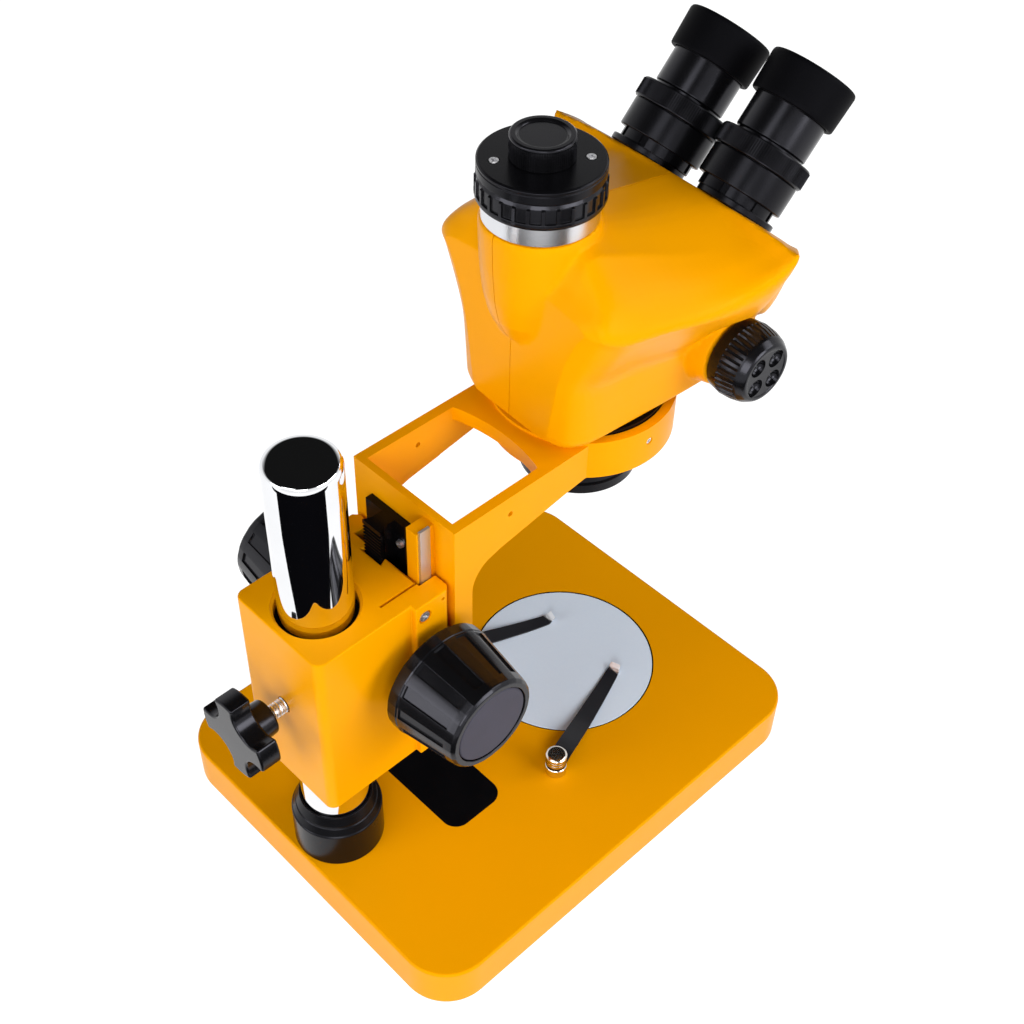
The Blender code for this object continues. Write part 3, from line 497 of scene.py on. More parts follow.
def rib_tree():
    """Upright ribs stood round an axis, each a prism with a chosen number of sides."""
    t = Tree("ribs_round_axis", ("Radius", "Width", "Depth", "Height"), ("Count", "Sides"))
    line = t.node("GeometryNodeMeshLine", inputs={"Count": t["Count"]})
    angle = t.node("GeometryNodeInputIndex") / t["Count"] * (2 * math.pi)
    spot = t.vector(angle.cosine() * t["Radius"], angle.sine() * t["Radius"])
    points = t.node("GeometryNodeSetPosition", inputs={"Geometry": line, "Position": spot})
    half = t["Width"] * 0.5
    rib = t.node("GeometryNodeMeshCylinder", {"fill_type": "NGON"},
                 {"Vertices": t["Sides"], "Radius": half, "Depth": t["Height"]})
    stretch = t.vector(t["Depth"] / half, 1.0, 1.0)
    shaped = t.node("GeometryNodeTransform", inputs={"Geometry": rib, "Scale": stretch})
    return t.close(t.node("GeometryNodeInstanceOnPoints", inputs={
        "Points": points, "Instance": shaped, "Rotation": t.vector(0.0, 0.0, angle)}))


def thread_tree():
    """A screw thread wound round an axis."""
    t = Tree("thread_round_axis", ("Radius", "Length", "Turns", "Depth"))
    path = t.node("GeometryNodeCurveSpiral", inputs={
        "Resolution": 28, "Rotations": t["Turns"], "Start Radius": t["Radius"], "End Radius": t["Radius"],
        "Height": t["Length"]})
    ridge = t.node("GeometryNodeCurvePrimitiveCircle", {"mode": "RADIUS"},
                   {"Resolution": 6, "Radius": t["Depth"]})
    return t.close(t.node("GeometryNodeCurveToMesh", inputs={
        "Curve": path, "Profile Curve": ridge, "Fill Caps": True}))


def screw_tree():
    """A flat-topped screw head with a cross recess, standing on z = 0."""
    t = Tree("cross_head_screw", ("Radius", "Height", "Slot", "Dip", "Turn"))
    disc = t.node("GeometryNodeMeshCone", {"fill_type": "NGON"}, {
        "Vertices": 36, "Side Segments": 1, "Radius Top": t["Radius"] * 0.86, "Radius Bottom": t["Radius"],
        "Depth": t["Height"]})
    cut = t.tree.nodes.new("GeometryNodeMeshBoolean")
    cut.operation, cut.solver = "DIFFERENCE", "EXACT"
    t.fill(cut, "Mesh 1", disc)
    span, deep = t["Radius"] * 1.3, t["Dip"] * 2.0
    for across, along in ((span, t["Slot"]), (t["Slot"], span)):
        cube = t.node("GeometryNodeMeshCube", inputs={"Size": t.vector(across, along, deep)})
        t.fill(cut, "Mesh 2", t.node("GeometryNodeTransform", inputs={
            "Geometry": cube, "Translation": t.vector(0.0, 0.0, t["Height"]),
            "Rotation": t.vector(0.0, 0.0, t["Turn"])}))
    return t.close(Sock(t, cut.outputs[0]))


TREES = {}


def grow(name, tree, paint, body, matrix, nodes=(), **values):
    """Run a node tree and keep its result as a finished piece."""
    host = linked("host", bpy.data.meshes.new("host"))
    mod = host.modifiers.new("grow", "NODES")
    mod.node_group = TREES[tree]
    for item in TREES[tree].interface.items_tree:
        if item.in_out == "INPUT":
            mod[item.identifier] = PAINTS[paint] if item.name == "Material" else values[item.name.lower()]
    host.update_tag()
    bpy.context.view_layer.update()
    mesh = baked(host)
    mesh.shade_smooth()
    mesh.set_sharp_from_angle(angle=math.radians(30))
    return settle(name, mesh, paint, body, nodes, matrix)


def cross_screw(name, body, matrix, node, radius, height, **cross):
    return grow(name, "screw", "steel", body, matrix, [node], radius=radius, height=height, **cross)


def spokes(count, stops):
    """(angle, share) pairs: stops of (part of the pitch, share) repeated round the axis."""
    return [((k + part) * 2 * math.pi / count, share) for k in range(count) for part, share in stops]


def relief(rows, spread):
    """A ring-shaped lathe body of (r, z, sink) rows, each spoke sunk by sink times its share."""
    bm = bmesh.new()
    rings = [[bm.verts.new(((r - sink * share) * math.cos(a), (r - sink * share) * math.sin(a), z))
              for a, share in spread] for r, z, sink in rows]
    if rows[0][0] > 0:
        rings.append(rings[0])
    return skin(bm, rings, capped=False)


def level(profile):
    """Rows of a relief that nothing sinks."""
    return [(r, z, 0.0) for r, z in profile]


# Stand
def base_casting(width, length, corner):
    """Slab with pockets below; bosses for feet, clips and column stay between them."""
    work = Work(extrude(round_rect(width, length, corner, 20), 0, DECK_Z))
    work.bevel(1.3, 4)
    pockets = bmesh.new()
    for x0, x1 in ((-92, -2), (2, 92)):
        for y0, y1 in ((-117, -56), (-52, 48), (52, 117)):
            extrude(round_rect(x1 - x0, y1 - y0, 6, 5, (x0 + x1) / 2, (y0 + y1) / 2), -1, 16, bm=pockets)
    bosses = rod(0, COL_Y, 25, -2, 17, 40)
    holes = rod(0, STAGE_Y, 48.2, 20, 30, 128)
    rod(0, COL_Y, 4.5, -1, 30, 24, bm=holes)
    for sx in (-1, 1):
        rod(sx * CLIP_X, CLIP_Y, 8, -2, 17, 24, bm=bosses)
        rod(sx * CLIP_X, CLIP_Y, 2.7, 13, 30, 20, bm=holes)
        for y in (-FOOT_Y, FOOT_Y):
            rod(sx * FOOT_X, y, 11, -2, 17, 28, bm=bosses)
            rod(sx * FOOT_X, y, 2.9, -1, 8, 20, bm=holes)
    hollow = bmesh.new()
    hollow.from_mesh(Work(pockets).cut(bosses).mesh())
    work.cut(hollow)
    work.cut(holes)
    work.cut(rod(0, COL_Y, 12, -1, 10, 32))
    finish("base_casting", work, "enamel", "stand", ["base_plate"])


def base_parts():
    foot = rounded([(0, -2.5), (8.6, -2.5), (9, -1.4), (9, -0.1), (2.5, -0.1), (2.5, 6), (0, 6.6)], 0.5)
    for end, fy in (("front", -FOOT_Y), ("rear", FOOT_Y)):
        for sx, side in SIDES:
            node, spot = "foot_" + end + "_" + side, STAND @ at(sx * FOOT_X, fy, 0)
            finish("rubber_" + node, revolve(foot, 40), "rubber", "stand", [node], spot)
    stage, column = STAND @ at(0, STAGE_Y, 0), STAND @ at(0, COL_Y, 0)
    plate = rounded([(0, 20.1), (47.45, 20.1), (47.45, 24.3), (0, 24.3)], 0.4)
    finish("stage_disc", revolve(plate, 128), "stage", "stand", ["stage_plate"], stage)
    gap = [(47.5, 20.3), (48.15, 20.3), (48.15, 24.2), (47.5, 24.2)]
    finish("stage_gap", revolve(gap, 128), "satin", "stand", (), stage)
    label = Work(extrude(round_rect(82, 33, 8, 12, 0, 47.5), 24.36, 24.62))
    finish("bare_label", label.bevel(0.08, 2), "label", "stand")
    tube = [(0, 50), (3.9, 50), (4.2, 48), (4.2, 24.45), (15.4, 24.45), (16, 25.2), (16, 262.6),
            (15.2, 264.7), (13.4, 265.4), (0, 265.4)]
    finish("chromed_column", revolve(rounded(tube, 1.1, 5), 128), "chrome", "stand", ["column"], column)
    flange = rounded([(16.3, 0.05), (21.4, 0.05), (21.4, 21.3), (20.8, 22), (19.3, 25.5), (18.8, 25.8),
                      (18.8, 26.6), (19, 26.9), (17.2, 31.6), (16.3, 31.6)], 0.35)
    finish("stepped_flange", revolve(flange, 96), "satin", "stand", ["column_flange"],
           STAND @ at(0, COL_Y, DECK_Z))
    repaint("steel", "column_bolt", "column_washer")
    repaint("satin", "column_liner")


def spline(rows, fine):
    """Catmull-Rom through a list of equal-length value rows, with reflected ends."""
    out = []
    for k in range(len(rows) - 1):
        p1, p2 = rows[k], rows[k + 1]
        p0 = rows[k - 1] if k else [2 * a - b for a, b in zip(p1, p2)]
        p3 = rows[k + 2] if k + 2 < len(rows) else [2 * b - a for a, b in zip(p1, p2)]
        for j in range(fine):
            t = j / fine
            out.append([0.5 * (2 * b + (c - a) * t + (2 * a - 5 * b + 4 * c - d) * t * t
                               + (3 * b - a - 3 * c + d) * t ** 3) for a, b, c, d in zip(p0, p1, p2, p3)])
    out.append(list(rows[-1]))
    return out


def spring_leaf():
    """Spring leaf: ring end in the post's neck, long tapered strip, tip turned up."""
    length, thick = 74.2, 0.8
    stations = [(0.0, 4.7, LEAF_Z), (0.10, 4.8, LEAF_Z), (0.2, 4.8, 29.6), (0.45, 4.5, 26.6),
                (0.75, 3.8, 24.75), (0.93, 3.3, 24.5), (0.965, 3, 25.2), (1, 2.6, 27.2)]
    bm = bmesh.new()
    rows = []
    for t, half, z in spline(stations, 6):
        section = ((-half, z), (half, z), (half, z + thick), (-half, z + thick))
        rows.append([bm.verts.new((u, t * length, w)) for u, w in section])
    leaf = Work(skin(bm, rows))
    leaf.add(drum(5.2, LEAF_Z, LEAF_Z + thick, 40))
    leaf.cut(drum(3.5, 28, 33, 32))
    return leaf


def grooved(top, grooves, reach=5.3, depth=0.6, width=0.7):
    """Side of a turned head, from its lowest groove up, with square grooves at given heights."""
    side = []
    for z in grooves:
        side += [(reach, z - width / 2 - 0.15), (reach - depth, z - width / 2),
                 (reach - depth, z + width / 2), (reach, z + width / 2 + 0.15)]
    return side + [(reach, top - 0.8), (reach - 0.6, top - 0.2), (reach - 1.4, top), (0, top)]


def stage_clips():
    post = [(0, 14.2), (2.4, 14.2), (2.4, 24.5), (5, 24.5), (5.3, 24.8), (5.3, 29.7), (5, 30),
            (3.2, 30), (3.2, 32), (5, 32), (5.3, 32.3)] + grooved(38.4, (33.6, 35.5))
    for sx, side in SIDES:
        body = "clip_" + side
        spot = STAND @ at(sx * CLIP_X, CLIP_Y, 0)
        aim = spot @ turned(180 - sx * CLIP_AIM, "Z")
        finish("clip_pillar_" + side, revolve(post, 64), "nickel", body, ["clip_post_" + side], spot)
        finish("spring_leaf_" + side, spring_leaf(), "leaf", body, ["clip_leaf_" + side], aim)


# Focus block and its drive
def block_casting():
    """Dovetail guide in front, bore for the column behind, and seats for the shaft, gib and clamp."""
    rail = 5.4
    right = [(27.4, 74.6), (30.5, 74.6), (30.5, 57.8), (28, 55.3), (20.7, 55.3), (20.7, 64.3),
             (rail + 4.6, 64.3), (rail + 6.4, 68.4)]
    left = [(rail - 6.4, 68.4), (rail - 4.6, 64.3), (-20.7, 64.3), (-20.7, 55.3), (-28, 55.3),
            (-30.5, 57.8), (-30.5, 74.6), (-27.4, 74.6)]
    rear = arc(-22.9, 119.0, 4.5, 180, 90, 8) + arc(22.9, 119.0, 4.5, 90, 0, 8)
    work = Work(extrude(right + left + rear, 87.4, 185.2))
    work.bevel(0.8, 3, 40)
    bore = [(0, 80), (19.4, 80), (19.4, 88), (17.8, 89.6), (17.8, 183.6), (19, 184.8), (19, 190),
            (0, 190)]
    work.cut(revolve(bore, 96), at(0, COL_Y, 0))
    work.cut(box(-19.7, -18.3, 60, 84.1, 120, 190))
    work.cut(rod(SHAFT_Y, SHAFT_Z, 6.3, -40, 40, 40, "X"))
    work.cut(rod(59.8, 181.3, 0.9, -40, -28.0, 16, "X", rod(GIB_Y, GIB_Z, 3.4, -40, -28.6, 32, "X")))
    work.cut(rod(GIB_Y, GIB_Z, 1.8, -29, -12, 20, "X"))
    work.cut(rod(0, CLAMP_Z, 4.0, 114, 130, 32, "Y"))
    finish("block_casting", work, "enamel", "block", ["focus_block"])
    screw = STAND @ at(-28.75, GIB_Y, GIB_Z) @ facing(-1)
    cross_screw("gib_adjuster", "block", screw, "gib_screw", 2.9, 1.5, slot=0.62, dip=0.9, turn=0.9)
    repaint("brass", "focus_bush_right", "focus_bush_left")


def star_outline(lobes, reach=20.5, waist=11.5, spread=18.0, first=10.0):
    """Wide lobes joined by round hollows; spread is half a lobe and first the first one's angle."""
    half = math.pi / lobes
    corner = reach * math.cos(half - math.radians(spread))
    away = (reach ** 2 - waist ** 2) / (2 * (corner - waist))
    hollow = away - waist
    sweep = math.degrees(math.acos((away - corner) / hollow))
    pts = []
    for k in range(lobes):
        lobe = first + 360.0 * k / lobes
        valley = lobe + 180.0 / lobes
        pts += arc(0, 0, reach, lobe - spread, lobe + spread, 10)
        pts += arc(*polar(away, valley), hollow, valley + 180 + sweep, valley + 180 - sweep, 18)[1:-1]
    return pts


def clamp(lobes):
    """Lobed knob on its threaded stud, behind the block."""
    spot = STAND @ at(0, 131.6, CLAMP_Z) @ REARWARD
    knob = Work(extrude(star_outline(lobes), 9.0, 19.0))
    knob.bevel(2, 5, 40)
    knob.add(revolve(rounded([(0, 0.4), (7.6, 0.4), (8.2, 1), (9, 12), (0, 12)], 0.5), 64))
    knob.cut(drum(3.8, -2, 13.8, 32))
    finish("lobed_knob", knob, "gloss", "clamp_handle", ["clamp_knob"], spot)
    stud = STAND @ at(0, 122.7, CLAMP_Z) @ REARWARD
    finish("threaded_stud", revolve([(0, 0), (2.6, 0), (3.1, 0.5), (3.1, 22.4), (0, 22.4)], 32), "steel",
           "clamp_handle", ["clamp_stud"], stud)
    grow("stud_thread", "thread", "steel", "clamp_handle", stud @ at(0, 0, 0.7), radius=3.08, length=15.0,
         turns=12.0, depth=0.42)
    repaint("brass", "clamp_pad")


def focus_knobs(flats):
    """Large tapered knobs: flat grip panels sunk between raised bars, and a grey end disc."""
    back = rounded([(3.05, 0), (26.6, 0), (27, 0.5), (27, 5.3), (26.6, 5.7), (26.55, 6.5)], 0.25)
    front = rounded([(23, 30.3), (22.85, 31.4), (22.3, 34.4), (21, 35.7), (18.9, 35.7), (18.7, 35.4),
                     (18.7, 33.2), (3.05, 33.2)], 0.5)
    rows = level(back) + [(26.5, 6.8, 0.85), (23.05, 30, 0.85)] + level(front)
    panel = spokes(flats, ((0, 0), (0.012, 1), (0.488, 1), (0.5, 0), (0.66, 0), (0.84, 0)))
    for sx, side in SIDES:
        spot = STAND @ at(sx * 37.2, SHAFT_Y, SHAFT_Z) @ facing(sx)
        knob = Work(relief(rows, panel)).bevel(0.25, 2, 32)
        finish("grip_knob_" + side, knob, "gloss", "focus_drive", ["focus_knob_" + side], spot, angle=45)
        cap = rounded([(0, 33.3), (18.3, 33.3), (18.3, 35), (17.7, 35.5), (0, 35.5)], 0.3)
        finish("knob_disc_" + side, revolve(cap, 96), "cap_grey", "focus_drive", ["focus_cap_" + side], spot)
    repaint("steel", "pinion_shaft")


# Arm
def arm_casting():
    """Bracket cut from its side view: two rails and a web behind, the head's ring in front."""
    half_width, half_window, ring_outside, ring_bore = 31.4, 26.5, 42.3, 38.2
    side = [(54, 216), (54, 112), (44, 112), (44, 168)] + arc(29.0, 174.0, 15.0, 0, 66, 10)
    side += [(28, 189.7), (-12, 196.3), (-22, 197.5), (-60, 197.5), (-60, 216)]
    work = Work(extrude(side, -half_width, half_width, axis="X"))
    window = [(-half_window, 50.6), (half_window, 50.6), (26.3, 2.4)]
    window += [(x, -1.9 + 3.6 * (abs(x) / 25.0) ** 2) for x in range(24, -25, -3)]
    window += [(-26.3, 2.4)]
    work.cut(extrude(window, 116, 230))
    work.cut(box(-half_window, half_window, -60, 10, 190, 209))
    work.cut(box(-50, 50, -62, STAGE_Y, 190, 230))
    work.add(rod(0, STAGE_Y, ring_outside, 197.5, 217.5, 120))
    work.cut(rod(0, STAGE_Y, ring_bore, 180, 240, 112))
    work.add(box(-19.0, -12.6, 53.5, 63.4, 112, 212.6))
    work.cut(rod(-50.5, 209.4, 1.8, -50, -30, 24, "X", rod(22.6, 206.3, 1.3, -40, 40, 20, "X")))
    work.bevel(0.75, 3, 34)
    finish("arm_casting", work, "enamel", "arm", ["arm_bracket"])


def arm_parts():
    for place, z in (("upper", 191.5), ("lower", 124.0)):
        spot = STAND @ at(-2.2, 57.85, z) @ REARWARD
        cross_screw("rack_screw_" + place, "arm", spot, "slider_screw_" + place, 2.1, 1.3, slot=0.5, dip=0.8,
                    turn=0.4)
    repaint("satin", "rack_slider")
    repaint("strip", "gib_strip")
    repaint("steel", "head_lock_screw")


# Head housing at stations along y: half width of the bottom, height of the bottom, then (x, z)
# points up the side, over the crease and the ridge, to the middle of the top
STATIONS = [
    (43.3, 24, 220.6, [(27, 245), (29.5, 258), (33.5, 272), (40, 285.5), (42.5, 289), (38, 291.8),
        (31, 293), (16, 294.5), (0, 295)]),
    (39.0, 33, 219.8, [(34.5, 245), (36, 257), (41, 270), (47, 283.5), (49.5, 288.5), (45, 294.5),
        (31, 299.5), (16, 301.5), (0, 302)]),
    (30.0, 37.4, 219.5, [(37.8, 243), (39, 255), (45, 268), (51.5, 281.5), (53, 287), (45.5, 298.5),
        (29.5, 311.5), (15, 315), (0, 315.5)]),
    (12.0, 38.3, 219.5, [(38.5, 243), (39.5, 254), (46, 266), (54.5, 280.5), (56, 286), (46.5, 297),
        (32.5, 307.5), (16, 313.5), (0, 315.5)]),
    (-8.0, 38.9, 219.5, [(39, 242), (40.5, 251), (48, 262), (57.5, 277), (60, 284), (51, 293.5),
        (38, 301.5), (19, 309), (0, 312)]),
    (-25.0, 39.2, 219.5, [(39.3, 240), (41, 250), (48, 260), (59, 272.5), (64, 286), (55, 293.3),
        (43, 298.5), (21, 306), (0, 309)]),
    (-38.0, 39.0, 219.5, [(39.3, 240), (41, 252), (48, 262.5), (58.5, 268.5), (69, 293), (60, 297.5),
        (46, 300), (23, 305), (0, 307)]),
    (-44.0, 37.6, 219.8, [(38.5, 240), (40, 251), (47, 262.2), (57, 267.5), (71.6, 300), (66, 303.3),
        (46, 305.3), (23, 306.2), (0, 306.3)]),
    (-49.0, 33.0, 221.5, [(36.5, 240), (39, 250), (46, 259.5), (54, 264.5), (67.5, 297.3), (62, 300.8),
        (44, 301.8), (22, 301.8), (0, 301.8)]),
    (-54.0, 31.0, 238.0, [(39, 247), (44, 252), (49, 256), (54, 263), (63.5, 294.2), (58, 296.9),
        (40, 297.2), (20, 297.2), (0, 297.2)]),
    (-66.0, 30.0, 248.0, [(38, 252), (42, 254), (46, 257), (49, 262), (54, 282.5), (50, 286),
        (36, 286.3), (18, 286.3), (0, 286.3)]),
    (-78.0, 26.0, 256.0, [(34, 258), (37, 259.5), (40, 261), (42, 264), (44.5, 271.5), (41, 275.2),
        (30, 275.5), (15, 275.5), (0, 275.5)]),
    (-84.0, 22.0, 261.5, [(31, 263), (34, 264), (36.5, 265), (38, 266), (38.5, 267.5), (37, 269),
        (28, 269.8), (14, 270), (0, 270)]),
]
RIDGE_AT, CREASE_AT = 7, 6
NECK = [(15, 263.5), (17.6, 268), (20.4, 274), (22.6, 284), (23.9, 298), (24.4, 312),
        (24.4, 315.6), (23.9, 316.8)]


def head_skin():
    """The whole housing's outer form as one closed loft, ridge and crease kept crisp."""
    rows = []
    for y, width, floor, upper in STATIONS:
        low = [(width * 0.6, floor), (width - 3.0, floor + 0.3), (width, floor + 4.0)]
        wing = spline([low[-1]] + upper[:CREASE_AT + 1], 4)
        half = low[:-1] + [tuple(p) for p in wing + spline(upper[CREASE_AT:], 4)[1:]]
        flat = [y]
        for x, z in half:
            flat += [max(x, 0.0), z]
        rows.append(flat)
    stations = spline(rows[:RIDGE_AT + 1], 5) + spline(rows[RIDGE_AT:], 3)[1:]
    bm = bmesh.new()
    loops = []
    for flat in stations:
        pts = list(zip(flat[1::2], flat[2::2]))
        ring = pts[:-1] + [(0.0, pts[-1][1])] + [(-x, z) for x, z in pts[-2::-1]] + [(0.0, pts[0][1])]
        loops.append([bm.verts.new((x, flat[0], z)) for x, z in ring])
    return skin(bm, loops)


def head_housing(voxel):
    """One blended form, cut on its middle plane into two shells, each opened for what it carries."""
    work = Work(head_skin())
    work.add(revolve([(0, NECK[0][1])] + NECK + [(0, NECK[-1][1])], 72), at(0, PORT_Y, 0))
    boss = [(0, 34), (19.5, 34), (18.6, 41), (17.4, 46), (16.8, 48.6), (16.2, 49.4), (0, 49.4)]
    for sx in (1, -1):
        work.add(revolve(boss, 64), at(0, ZOOM_Y, ZOOM_Z) @ facing(sx))
    work.modifier("REMESH", mode="VOXEL", voxel_size=voxel)
    work.modifier("SMOOTH", factor=0.6, iterations=5)
    whole = work.mesh()
    half_seam = 0.17
    for sx, side in SIDES:
        bm = bmesh.new()
        bm.from_mesh(whole)
        split = bmesh.ops.bisect_plane(bm, geom=bm.verts[:] + bm.edges[:] + bm.faces[:], clear_inner=True,
                                       plane_co=(sx * half_seam, 0, 0), plane_no=(sx, 0, 0))
        rim = [g for g in split["geom_cut"] if isinstance(g, bmesh.types.BMEdge)]
        bmesh.ops.contextual_create(bm, geom=rim)
        half = Work(tidy(bm))
        half.cut(extrude(round_rect(71, 82, 9, 6, 0, -2), 221.8, 262))
        half.cut(extrude([(-46, -38), (46, -38), (38, 30), (-38, 30)], 260, 288))
        half.cut(rod(0, PORT_Y, 20.3, 280, 330))
        half.cut(rod(ZOOM_Y, ZOOM_Z, 4.4, -60, 60, 24, "X"))
        well = at(sx * (EYE_X + EYE_PIVOT), EYE_Y, EYE_Z) @ turned(EYE_TILT, "X")
        half.cut(drum(13.0, -66, -20, 48), well)
        finish("housing_shell_" + side, half, "enamel", "head", ["head_housing_" + side], HEAD, angle=50)


def objective():
    barrel = [(25, 219.2), (37.8, 219.2), (37.8, 200), (29, 200), (27.2, 197.5), (27.2, 180.2),
              (26.4, 179.6), (26.4, 178.8), (27.3, 178.2), (27.3, 173.5), (26.8, 173), (24.2, 173),
              (23.6, 173.8), (23.8, 175.4), (24.6, 176.6)]
    finish("objective_housing", revolve(barrel, 112), "satin", "head", ["objective_barrel"], HEAD)
    lens = [(0, 175.6), (8, 175.9), (16, 176.9), (23.9, 178.4), (24.3, 183), (0, 183)]
    finish("objective_lens", revolve(lens, 96), "glass", "head", ["front_lens"], HEAD)


def camera_port(notches):
    """From below: bright collar, notched ring, plate with two screws, and the dust cap."""
    spot = HEAD @ at(0, PORT_Y, 0)
    collar = rounded([(17, 292), (20, 292), (20, 317.1), (23.2, 317.1), (23.5, 317.4),
                      (23.5, 325.4), (20, 325.4), (20, 336.2), (17, 336.2)], 0.25)
    finish("bright_collar", revolve(collar, 112), "collar", "head", ["port_collar"], spot)
    rows = level([(20.3, 325.8), (24.9, 325.8), (25.5, 326.1), (25.6, 326.9), (26, 327.2), (26, 328.3),
                  (25.9, 328.6)])
    rows += [(25.9, 328.8, 0.8), (25.9, 334.4, 0.8)]
    rows += level([(24.95, 334.9), (24.4, 336), (24.1, 336.2), (20.3, 336.2)])
    notch = spokes(notches, ((0, 0), (0.03, 1), (0.38, 1), (0.74, 1), (0.77, 0), (0.89, 0)))
    grip = Work(relief(rows, notch)).bevel(0.14, 2, 35)
    finish("notched_ring", grip, "gloss", "camera_ring", ["port_ring"], spot, angle=45)
    disc = [(12, 336.5), (24.8, 336.5), (25.3, 337), (25.3, 340.2), (25, 340.4), (25, 340.7),
            (25.3, 340.9), (25.3, 341.8), (24.6, 342.4), (12, 342.4)]
    work = Work(revolve(rounded(disc, 0.2), 112))
    screw_circle = 18.6
    seats = [polar(screw_circle, a) for a in (60, 230)]
    for x, y in seats:
        work.cut(rod(x, y, 2.3, 340.8, 345, 36))
    finish("port_plate", work, "satin", "head", ["port_disc"], spot)
    for tag, (x, y) in zip("ab", seats):
        cross_screw("plate_screw_" + tag, "head", spot @ at(x, y, 340.9), "port_screw_" + tag, 2.2, 1.7,
                    slot=0.6, dip=0.9, turn=0.3)
    cap = rounded([(0, 330.5), (11.7, 330.5), (11.7, 342.6), (12.4, 342.6), (12.4, 351), (13, 351.2),
                   (12.9, 352), (12.3, 352.5), (10.4, 352.5), (9.7, 352), (9.2, 351.5), (0, 351.5)], 0.25)
    finish("cap_body", revolve(cap, 112), "gloss", "port_cap", ["dust_cap"], spot)
    grow("cap_knurl", "ribs", "gloss", "port_cap", spot @ at(0, 0, 346.8), count=84, radius=12.45, width=0.56,
         depth=0.50, height=8.0, sides=6)


def zoom_knobs(ribs):
    """Barrel knobs: grooves round the outer part, four scoops with a boss in each on the end."""
    rear = level(rounded([(0, 12.6), (4.1, 12.6), (4.1, 0), (16, 0), (16.7, 0.7), (17.45, 6)], 0.4))
    nose = level(rounded([(15.9, 15), (15.6, 15.8), (13.9, 18.3), (12.9, 19.1), (11.6, 19.1), (11.2, 18.7),
                          (0, 18.7)], 0.4))
    rows = rear + [(17.4, 6.4, 0.75), (17, 11, 0.75), (16.1, 14.4, 0.75)] + nose
    groove = spokes(ribs, ((0, 0), (0.12, 0.75), (0.25, 1), (0.38, 0.75), (0.5, 0), (0.75, 0)))
    scoop = [(0, 17.6), (0.5, 17.55), (0.9, 17.3), (1.3, 16.6), (1.6, 16.3), (2.4, 16), (3.3, 16.4),
             (4, 17.6), (4.4, 19.6), (0, 19.6)]
    scoop_circle = 7.5
    for sx, side in SIDES:
        spot = HEAD @ at(sx * 50.0, ZOOM_Y, ZOOM_Z) @ facing(sx)
        work = Work(relief(rows, groove))
        for k in range(4):
            work.cut(revolve(scoop, 40), at(*polar(scoop_circle, 45 + 90 * k), 0))
        finish("barrel_knob_" + side, work, "gloss", "zoom_drive", ["zoom_knob_" + side], spot, angle=38,
               weighted=False)
    repaint("steel", "zoom_shaft")
    repaint("satin", "zoom_carriage_lower", "zoom_carriage_upper")


def eye_tube(sx):
    """Turning mount of one eyepiece: a slotted disc on a pivot off its axis, a barrel and a band."""
    rows = [(15.2, -43.5), (16.9, -43.5), (17, -43.3), (17, -38.9), (19.2, -38.9), (19.6, -38.5),
            (19.6, -26.2), (19.3, -25.9), (17.2, -25.9), (17.2, -17), (15.2, -17)]
    tube = Work(revolve(rounded(rows, 0.2), 112))
    disc = [(0, -46), (17.7, -46), (18, -45.7), (18, -43.6), (17.6, -43.2), (0, -43.2)]
    disc_off = 0.4
    tube.add(revolve(disc, 96), at(sx * EYE_PIVOT * disc_off, 0, 0))
    tube.add(drum(12.7, -45.9, -52, 48), at(sx * EYE_PIVOT, 0, 0))
    tube.cut(drum(9.0, -60, -40, 40))
    slots = bmesh.new()
    slot_count, first_slot = 8, 0.2
    for k in range(slot_count):
        turn = Matrix.Rotation(2 * math.pi * k / slot_count + first_slot, 2)
        corners = [turn @ Vector(spot) for spot in ((-1.7, 15.9), (1.7, 15.9), (1.7, 19), (-1.7, 19))]
        extrude(corners, -43.1, -38.7, bm=slots)
    return tube.cut(slots)


def eyepieces(ridges):
    ring = rounded([(17.5, -25.6), (20.3, -25.6), (20.6, -25.2), (20.6, -17.3), (20.2, -16.9),
                    (17.5, -16.9)], 0.2)
    barrel = rounded([(12.6, -37), (14.9, -37), (14.9, -15.6), (15.9, -15.6), (16.4, -15.1), (16.4, 2),
                      (15, 2.4), (12.6, 2.4)], 0.2)
    cup = rounded([(16.7, 0.6), (17.2, 0.3), (18.6, 0.2), (19.1, 0.7), (19.25, 2), (19.7, 16.8),
                   (19.3, 17.9), (18.4, 18.3), (17.4, 18.1), (16.9, 17.2), (15.4, 10), (13.2, 4.6),
                   (13, 4), (13, 2.7), (16.7, 2.7)], 0.5)
    lens = [(0, -3), (12.4, -3), (12.4, 0), (10, 0.6), (7, 1.15), (3.5, 1.5), (0, 1.6)]
    for sx, side in SIDES:
        eye, turning, sliding = EYES[sx], "diopter_" + side, "eyepiece_" + side
        finish("tube_mount_" + side, eye_tube(sx), "satin", "eye_" + side, ["eye_tube_" + side], eye)
        finish("focus_ring_" + side, revolve(ring, 112), "satin", turning, ["diopter_ring_" + side], eye)
        grow("focus_knurl_" + side, "ribs", "satin", turning, eye @ at(0, 0, -21.25), count=ridges,
             radius=20.55, width=0.60, depth=0.42, height=7.0, sides=4)
        finish("ocular_barrel_" + side, revolve(barrel, 96), "gloss", sliding, ["ocular_" + side], eye)
        finish("rubber_cup_" + side, revolve(cup, 112), "rubber", sliding, ["eyecup_" + side], eye)
        finish("ocular_glass_" + side, revolve(lens, 80), "glass", sliding, ["eye_lens_" + side], eye)


# Studio
def sheet(name, corners, mat):
    """A flat stage piece."""
    mesh = bpy.data.meshes.new(name)
    mesh.from_pydata(corners, [], [tuple(range(len(corners)))])
    mesh.materials.append(mat)
    obj = linked(name, mesh)
    return obj


